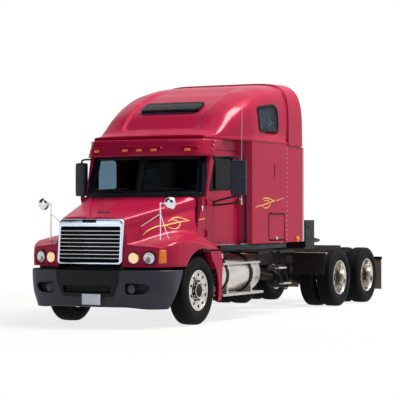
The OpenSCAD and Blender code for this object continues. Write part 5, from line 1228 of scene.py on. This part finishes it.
def strand(points, count=90):  # a ribbon whose width swells from nothing at both ends
    path = curve(points, count)
    along = np.gradient(path, axis=0)
    along /= np.linalg.norm(along, axis=1)[:, None]
    side = np.stack([-along[:, 1], along[:, 0]], -1)
    t = np.linspace(0, 1, count)
    half = stripeForm["width"] / 2 * (0.12 + 0.88 * np.sin(np.pi * t) ** 0.55)
    across = np.linspace(-1, 1, 3)
    return path[:, None] + side[:, None] * half[:, None, None] * across[None, :, None]


def strandsOn(name, node, strands, y, target):
    for side, s in sides:
        parts = [patch(np.stack([p[..., 0], 0 * p[..., 0] + s * y, p[..., 1]], -1)) for p in strands]
        parts = parts if s < 0 else [(q, f[:, ::-1]) for q, f in parts]
        piece = makePiece(name + "_" + side, parts, node, stripeFilm, closed=False)
        if target:
            layOn(piece, target, stripeForm["lift"], "y")
        thicken(piece, stripeForm["film"], 1)


sleeperStrands = [
    strand([[-1790, 1712], [-1900, 1742], [-2080, 1762], [-2300, 1798], [-2560, 1838], [-2915, 1884]]),
    strand([[-2060, 1852], [-2180, 1876], [-2330, 1868], [-2480, 1842], [-2700, 1838]]),
    strand([[-2050, 1768], [-2150, 1722], [-2280, 1728], [-2370, 1790], [-2260, 1842], [-2120, 1826]])]
strandsOn("sleeperStripe", "sleeper_shell", sleeperStrands, stripeForm["sleeperY"], None)
hoodStrands = [
    strand([[828, 1315], [717, 1384], [553, 1440], [413, 1456], [252, 1488], [90, 1512], [-60, 1526]]),
    strand([[290, 1530], [200, 1566], [100, 1572], [20, 1546], [-60, 1520]]),
    strand([[400, 1452], [320, 1412], [220, 1420], [150, 1490], [230, 1540], [330, 1516]])]
strandsOn("hoodStripe", "hood", hoodStrands, stripeForm["reachY"], hoodSkin)
cabStrands = [strand([[-205, 1538], [-300, 1546], [-425, 1556]], 30)]
strandsOn("cowlStripe", "cab_shell", cabStrands, stripeForm["reachY"], bpy.data.objects["cab_shell_smooth"])


print("wheels")
wheelForm = dict(studs=10, studR=142.9, nutR=19, frontY=1030, driveX=-6000, driveY=915, tandem=660)
spots = np.arange(wheelForm["studs"]) * 2 * np.pi / wheelForm["studs"]
for node, spotX, spotY, s, face, hubR, hubEnd in [
        ("front_rim_" + side, 0, s * wheelForm["frontY"], s, 86, 108, 133) for side, s in sides] + [
        ("drive_rims_%d_%s" % (k, side), wheelForm["driveX"] + (3 - 2 * k) * wheelForm["tandem"],
         s * wheelForm["driveY"], s, 25, 112, 152)
        for k in (1, 2) for side, s in sides]:
    centres = np.stack([spotX + wheelForm["studR"] * np.cos(spots), 0 * spots + spotY + s * (face - 2),
                        hubZ - wheelForm["studR"] * np.sin(spots)], -1)
    nuts = domes(centres, (0, s, 0), wheelForm["nutR"], 40, 6, flat=0.8)
    makePiece(node + "_nuts", [nuts], node, castIron if "front" in node else chrome)
    cap = [[face - 10, hubR + 1], [hubEnd - 10, hubR + 1], [hubEnd + 1, hubR - 12], [hubEnd + 2, 62],
           [hubEnd + 10, 56], [hubEnd + 12, 30], [hubEnd + 12, 0]]
    makePiece(node + "_hubCap", [revolve(cap, (spotX, spotY, hubZ), (0, s, 0), 48)], node,
              castIron if "front" in node else blackSteel)


discForm = dict(holes=10, ringR=232, holeR=31, middle=1030, wall=7,
                shade=[[84, 196], [88, 196], [88, 266], [84, 266]],
                profile=[[293, 80], [286, 101], [264, 116], [228, 121], [192, 113], [166, 99], [112, 92]])
rows = curve(discForm["profile"], 36)
turn = np.linspace(0, 2 * np.pi, 220, endpoint=False)
spots = (np.arange(discForm["holes"]) + 0.5) * 2 * np.pi / discForm["holes"]
spotXz = discForm["ringR"] * np.stack([np.cos(spots), np.sin(spots)], -1)
for side, s in sides:
    # polished outer disc: a bowed profile turned about the axle, with ten round hand holes left open
    node = "front_rim_" + side
    discX, discZ = rows[:, None, 0] * np.cos(turn), hubZ + rows[:, None, 0] * np.sin(turn)
    discY = np.broadcast_to(s * (discForm["middle"] + rows[:, None, 1]), discX.shape)
    disc = np.stack([discX, discY, discZ], -1)

    def betweenHoles(c):
        reach = np.linalg.norm(c[:, None, [0, 2]] - (0, hubZ) - spotXz[None], axis=-1)
        return reach.min(1) > discForm["holeR"]

    makePiece(node + "_disc", [patch(disc, loopV=True, keep=betweenHoles)], node, wheelAlloy, closed=False,
              inside=(0, s * 900, hubZ), wall=discForm["wall"])
    t = np.linspace(0, 2 * np.pi, 24, endpoint=False)
    edgeX, edgeZ = discForm["holeR"] * np.cos(t), discForm["holeR"] * np.sin(t)
    edgeY = 0 * t + s * (discForm["middle"] + 118)
    edges = [sweep(np.stack([x + edgeX, edgeY, hubZ + z + edgeZ], -1), ring(8, 5, 5), (0, 1, 0), loop=True)
             for x, z in spotXz]
    makePiece(node + "_holeEdges", edges, node, wheelAlloy)
    # a black ring right behind the hand holes, so that they show dark: painted shade where the wheel's inside
    # would be
    shade = revolve(discForm["shade"], (0, s * discForm["middle"], hubZ), (0, s, 0), 64, closed=True)
    makePiece(node + "_shade", [shade], node, blackSteel)


print("chassis trim")
chassisForm = dict(flapTop=770, tank=(0, 880, 705), tankR=304, strap=38, straps=(-900, -1740),
                   treads=(742, 492), ladderX=(-2884, -3166), ladderY=(1017, 1190), ladderTop=1000,
                   ladderTall=530, whip=(-905, 1412), whipZ=(1764, 3260), coilZ=1800,
                   coil=[[-40, 0], [-40, 10], [-10, 13], [60, 11], [95, 5], [96, 0]],
                   mount=[[-862, 1385, 1868], [-880, 1396, 1850], [-900, 1409, 1842], [-912, 1417, 1842]],
                   hanger=((-4811, 556, 925), (-4857, 1164, 952)))
f = chassisForm
flapPoints = meshPoints(frame["nodes"]["mud_flaps"].data)
hind = flapPoints[(flapPoints[:, 0] < -7000) & (flapPoints[:, 1] > 0) & (flapPoints[:, 2] < 500)]
low, high = hind.min(0), hind.max(0)
sheet = block(low - (4, 4, 4), (high[0] + 4, high[1] + 4, f["flapTop"]), 5)
makePiece("hindFlapSheets", bothSides(sheet), "mud_flaps", mudGuardSheet)
bands = []
for x in f["straps"]:
    a, b, r = x - f["strap"], x + f["strap"], f["tankR"]
    bands.append(revolve([[a, r], [b, r], [b, r + 8], [a, r + 8]], f["tank"], (1, 0, 0), 72, True))
makePiece("tankStraps", bothSides(*bands), "tank_steps", blackSteel)
treads = []
for z in f["treads"]:
    y = mixed(*f["ladderY"], (f["ladderTop"] - z) / f["ladderTall"])  # the ladder leans out at its foot
    treads.append(block((f["ladderX"][0], y - 44, z - 12), (f["ladderX"][1], y + 48, z + 13), 6))
makePiece("ladderTreads", treads, "deck_ladder", stepAlloy)
whip = np.linspace(0, 1, 30)
whipX, whipY = f["whip"]
path = np.stack([whipX - 14 * whip ** 2, whipY + 6 * whip ** 2, mixed(*f["whipZ"], whip)], -1)
rod = sweep(path, ring(8, 4.5), (1, 0, 0), sizes=mixed(1.2, 0.7, whip))
mount = sweep(curve(f["mount"], 16), ring(10, 12), (0.5, -0.8, 0))
coil = revolve(f["coil"], (whipX, whipY, f["coilZ"]), (0, 0, 1), 18)
makePiece("antennaWhip", [rod, mount, coil], "door_mirror_left", stepAlloy)
makePiece("flapHangerCaps", bothSides(block(*f["hanger"], 5)), "mud_flaps", stepAlloy)


print("seats")
# the lining hides the painted inner walls; its dark cloth also stands in as painted shade inside the sleeper
liningForm = dict(front=-1600, back=-2930, half=1150, low=1180, tall=1520, square=0.2)
f = liningForm  # a squared arch carried from front to back
a, x = np.meshgrid(np.linspace(0, np.pi, 60), np.linspace(f["front"], f["back"], 24), indexing="ij")
arch = np.stack([x, f["half"] * signedPower(np.cos(a), f["square"]),
                 f["low"] + f["tall"] * np.sin(a) ** f["square"]], -1)
makePiece("sleeperLining", [patch(arch)], "sleeper_shell", lining, closed=False, inside=(-2300, 0, 1900),
          wall=4)
seatForm = dict(floor=1155, middle=480)


def cushion(centre, half, tilt, power=0.42, crown=10, channel=7):
    # a superellipsoid pad: crowned faces, soft corners and two sewn channels down its front
    u = np.linspace(-np.pi / 2, np.pi / 2, 40)[:, None]
    v = np.linspace(-np.pi, np.pi, 72, endpoint=False)[None]
    x = signedPower(np.cos(u), power) * signedPower(np.cos(v), power) * half[0]
    y = signedPower(np.cos(u), power) * signedPower(np.sin(v), power) * half[1]
    z = np.broadcast_to(signedPower(np.sin(u), power), x.shape) * half[2]
    upright = tilt > 45
    flatness = (1 - (y / half[1]) ** 2) * (1 - (z / half[2]) ** 2 if upright else 1 - (x / half[0]) ** 2)
    swell = crown * np.clip(flatness, 0, 1)
    sewn = channel * np.exp(-((np.abs(y) - half[1] * 0.55) / 9) ** 2)
    if upright:
        x = x + np.sign(x) * swell
        x = x - np.sign(x) * sewn
    else:
        z = z + np.sign(z) * swell
        z = z - np.sign(z) * sewn
    c, d = math.cos(math.radians(-5 if upright else 4)), math.sin(math.radians(-5 if upright else 4))
    return patch(np.stack([x * c + z * d, y, z * c - x * d], -1) + np.array(centre), loopV=True)


for side, s in sides:
    f, y = seatForm["floor"], s * seatForm["middle"]
    pads = {"seatBase": ((-1255, y, f + 310), (255, 258, 52), 0),
            "seatBack": ((-1460, y, f + 665), (58, 248, 320), 90),
            "seatHead": ((-1487, y, f + 1080), (40, 138, 108), 90)}
    for name, (centre, half, tilt) in pads.items():
        first = ("seats",) if name == "seatBase" and s > 0 else ()
        pad = makePiece(name + "_" + side, [cushion(centre, half, tilt)], "seats", seatCloth, angle=80,
                        replaced=first)
    makePiece("seatPlinth_" + side, [block((-1135, y - 168, f + 61), (-1438, y + 168, f + 258), 20)], "seats",
              blackPlastic)


print("stage and camera")
photoView = dict(spot=(20225, 11619, 1625), turn=207.31, rise=0.514, lens=1555 / 400 * 36)
camera = bpy.data.objects.new("photoCamera", bpy.data.cameras.new("photoCamera"))
scene.collection.objects.link(camera)
camera.location = toRow(photoView["spot"])
camera.rotation_euler = (math.radians(90 + photoView["rise"]), 0, math.radians(photoView["turn"] - 90))
camera.data.sensor_width = 36
camera.data.lens = photoView["lens"]
camera.data.clip_end = 400
scene.camera = camera

floorMesh = bpy.data.meshes.new("studioFloor")
floorMesh.from_pydata([(-90, -90, 0), (90, -90, 0), (90, 90, 0), (-90, 90, 0)], [], [(0, 1, 2, 3)])
floor = bpy.data.objects.new("studioFloor", floorMesh)
scene.collection.objects.link(floor)


def seenDirectly(tree):  # 1 for rays from the camera, off gloss and through glass
    ray = addNode(tree, "ShaderNodeLightPath")
    seen = addNode(tree, "ShaderNodeMath", {0: ray.outputs["Is Camera Ray"], 1: ray.outputs["Is Glossy Ray"]},
                   operation="MAXIMUM")
    return addNode(tree, "ShaderNodeMath", {0: seen.outputs[0], 1: ray.outputs["Is Transmission Ray"]},
                   operation="MAXIMUM").outputs[0]


floorPaint = bpy.data.materials.new("paleStudioFloor")  # matt paint that the shadow still shows on
floorPaint.use_nodes = True
tree = floorPaint.node_tree
tree.nodes.clear()
matt = addNode(tree, "ShaderNodeBsdfDiffuse", {"Color": hexLinear("#C2C2C2")})
glow = addNode(tree, "ShaderNodeEmission", {"Color": (1, 1, 1, 1), "Strength": 1.0})
spot = addNode(tree, "ShaderNodeTexCoord")
reach = addNode(tree, "ShaderNodeVectorMath", {0: spot.outputs["Object"]}, operation="LENGTH")
fade = addNode(tree, "ShaderNodeMapRange", {"Value": reach.outputs["Value"], "From Min": 4.5, "From Max": 9.0,
                                            "To Min": 0.8, "To Max": 1.0})
share = addNode(tree, "ShaderNodeMath", {0: seenDirectly(tree), 1: fade.outputs[0]}, operation="MULTIPLY")
blend = addNode(tree, "ShaderNodeMixShader", {0: share.outputs[0], 1: matt.outputs[0], 2: glow.outputs[0]})
addNode(tree, "ShaderNodeOutputMaterial", {"Surface": blend.outputs[0]})
floorMesh.materials.append(floorPaint)

world = bpy.data.worlds.new("softStudio")
world.use_nodes = True
scene.world = world
tree = world.node_tree
tree.nodes.clear()
softBox = addNode(tree, "ShaderNodeBackground", {"Color": hexLinear("#E8EDF5"), "Strength": 0.38})
white = addNode(tree, "ShaderNodeBackground", {"Color": (1, 1, 1, 1), "Strength": 1.0})
sky = addNode(tree, "ShaderNodeMixShader", {0: seenDirectly(tree), 1: softBox.outputs[0],
                                            2: white.outputs[0]})
addNode(tree, "ShaderNodeOutputWorld", {"Surface": sky.outputs[0]})

lampTarget = (-1800, 0, 1500)
studioLamps = dict(  # place in mm, size in m, power in W
    key=dict(spot=(-11000, 13300, 32100), size=13, power=22500, tone="#FFF7EC"),
    fill=dict(spot=(16000, -6000, 9000), size=10, power=350, tone="#EAF0FF"),
    sky=dict(spot=(2600, 600, 13500), size=9, power=420, tone="#D5DEFF"),
)
for name, lamp in studioLamps.items():
    light = bpy.data.lights.new(name, "AREA")
    light.size, light.energy, light.color = lamp["size"], lamp["power"], hexLinear(lamp["tone"])[:3]
    holder = bpy.data.objects.new(name, light)
    scene.collection.objects.link(holder)
    holder.location = toRow(lamp["spot"])
    aim = toRow(lampTarget) - toRow(lamp["spot"])
    holder.rotation_euler = (math.atan2(math.hypot(aim[0], aim[1]), -aim[2]), 0,
                             math.atan2(aim[1], aim[0]) - math.pi / 2)

# a dark card far in front, unseen by the camera, gives chrome and glass something to reflect
cardForm = dict(radius=42000, start=-110, end=48, low=11000, high=150000)
turn, lift = np.meshgrid(np.radians(np.linspace(cardForm["start"], cardForm["end"], 40)),
                         np.linspace(cardForm["low"], cardForm["high"], 6), indexing="ij")
cardMesh = buildMesh("studioCard", [patch(np.stack([cardForm["radius"] * np.cos(turn),
                     cardForm["radius"] * np.sin(turn), lift], -1))], closed=False)
card = bpy.data.objects.new("studioCard", cardMesh)
scene.collection.objects.link(card)
card.visible_camera = False
cardCloth = makeFinish("darkStudioCloth", ("#20262F", "#2A313C"), 4000, (0.9, 1.0), 300, 1.0)
cardMesh.materials.append(cardCloth)
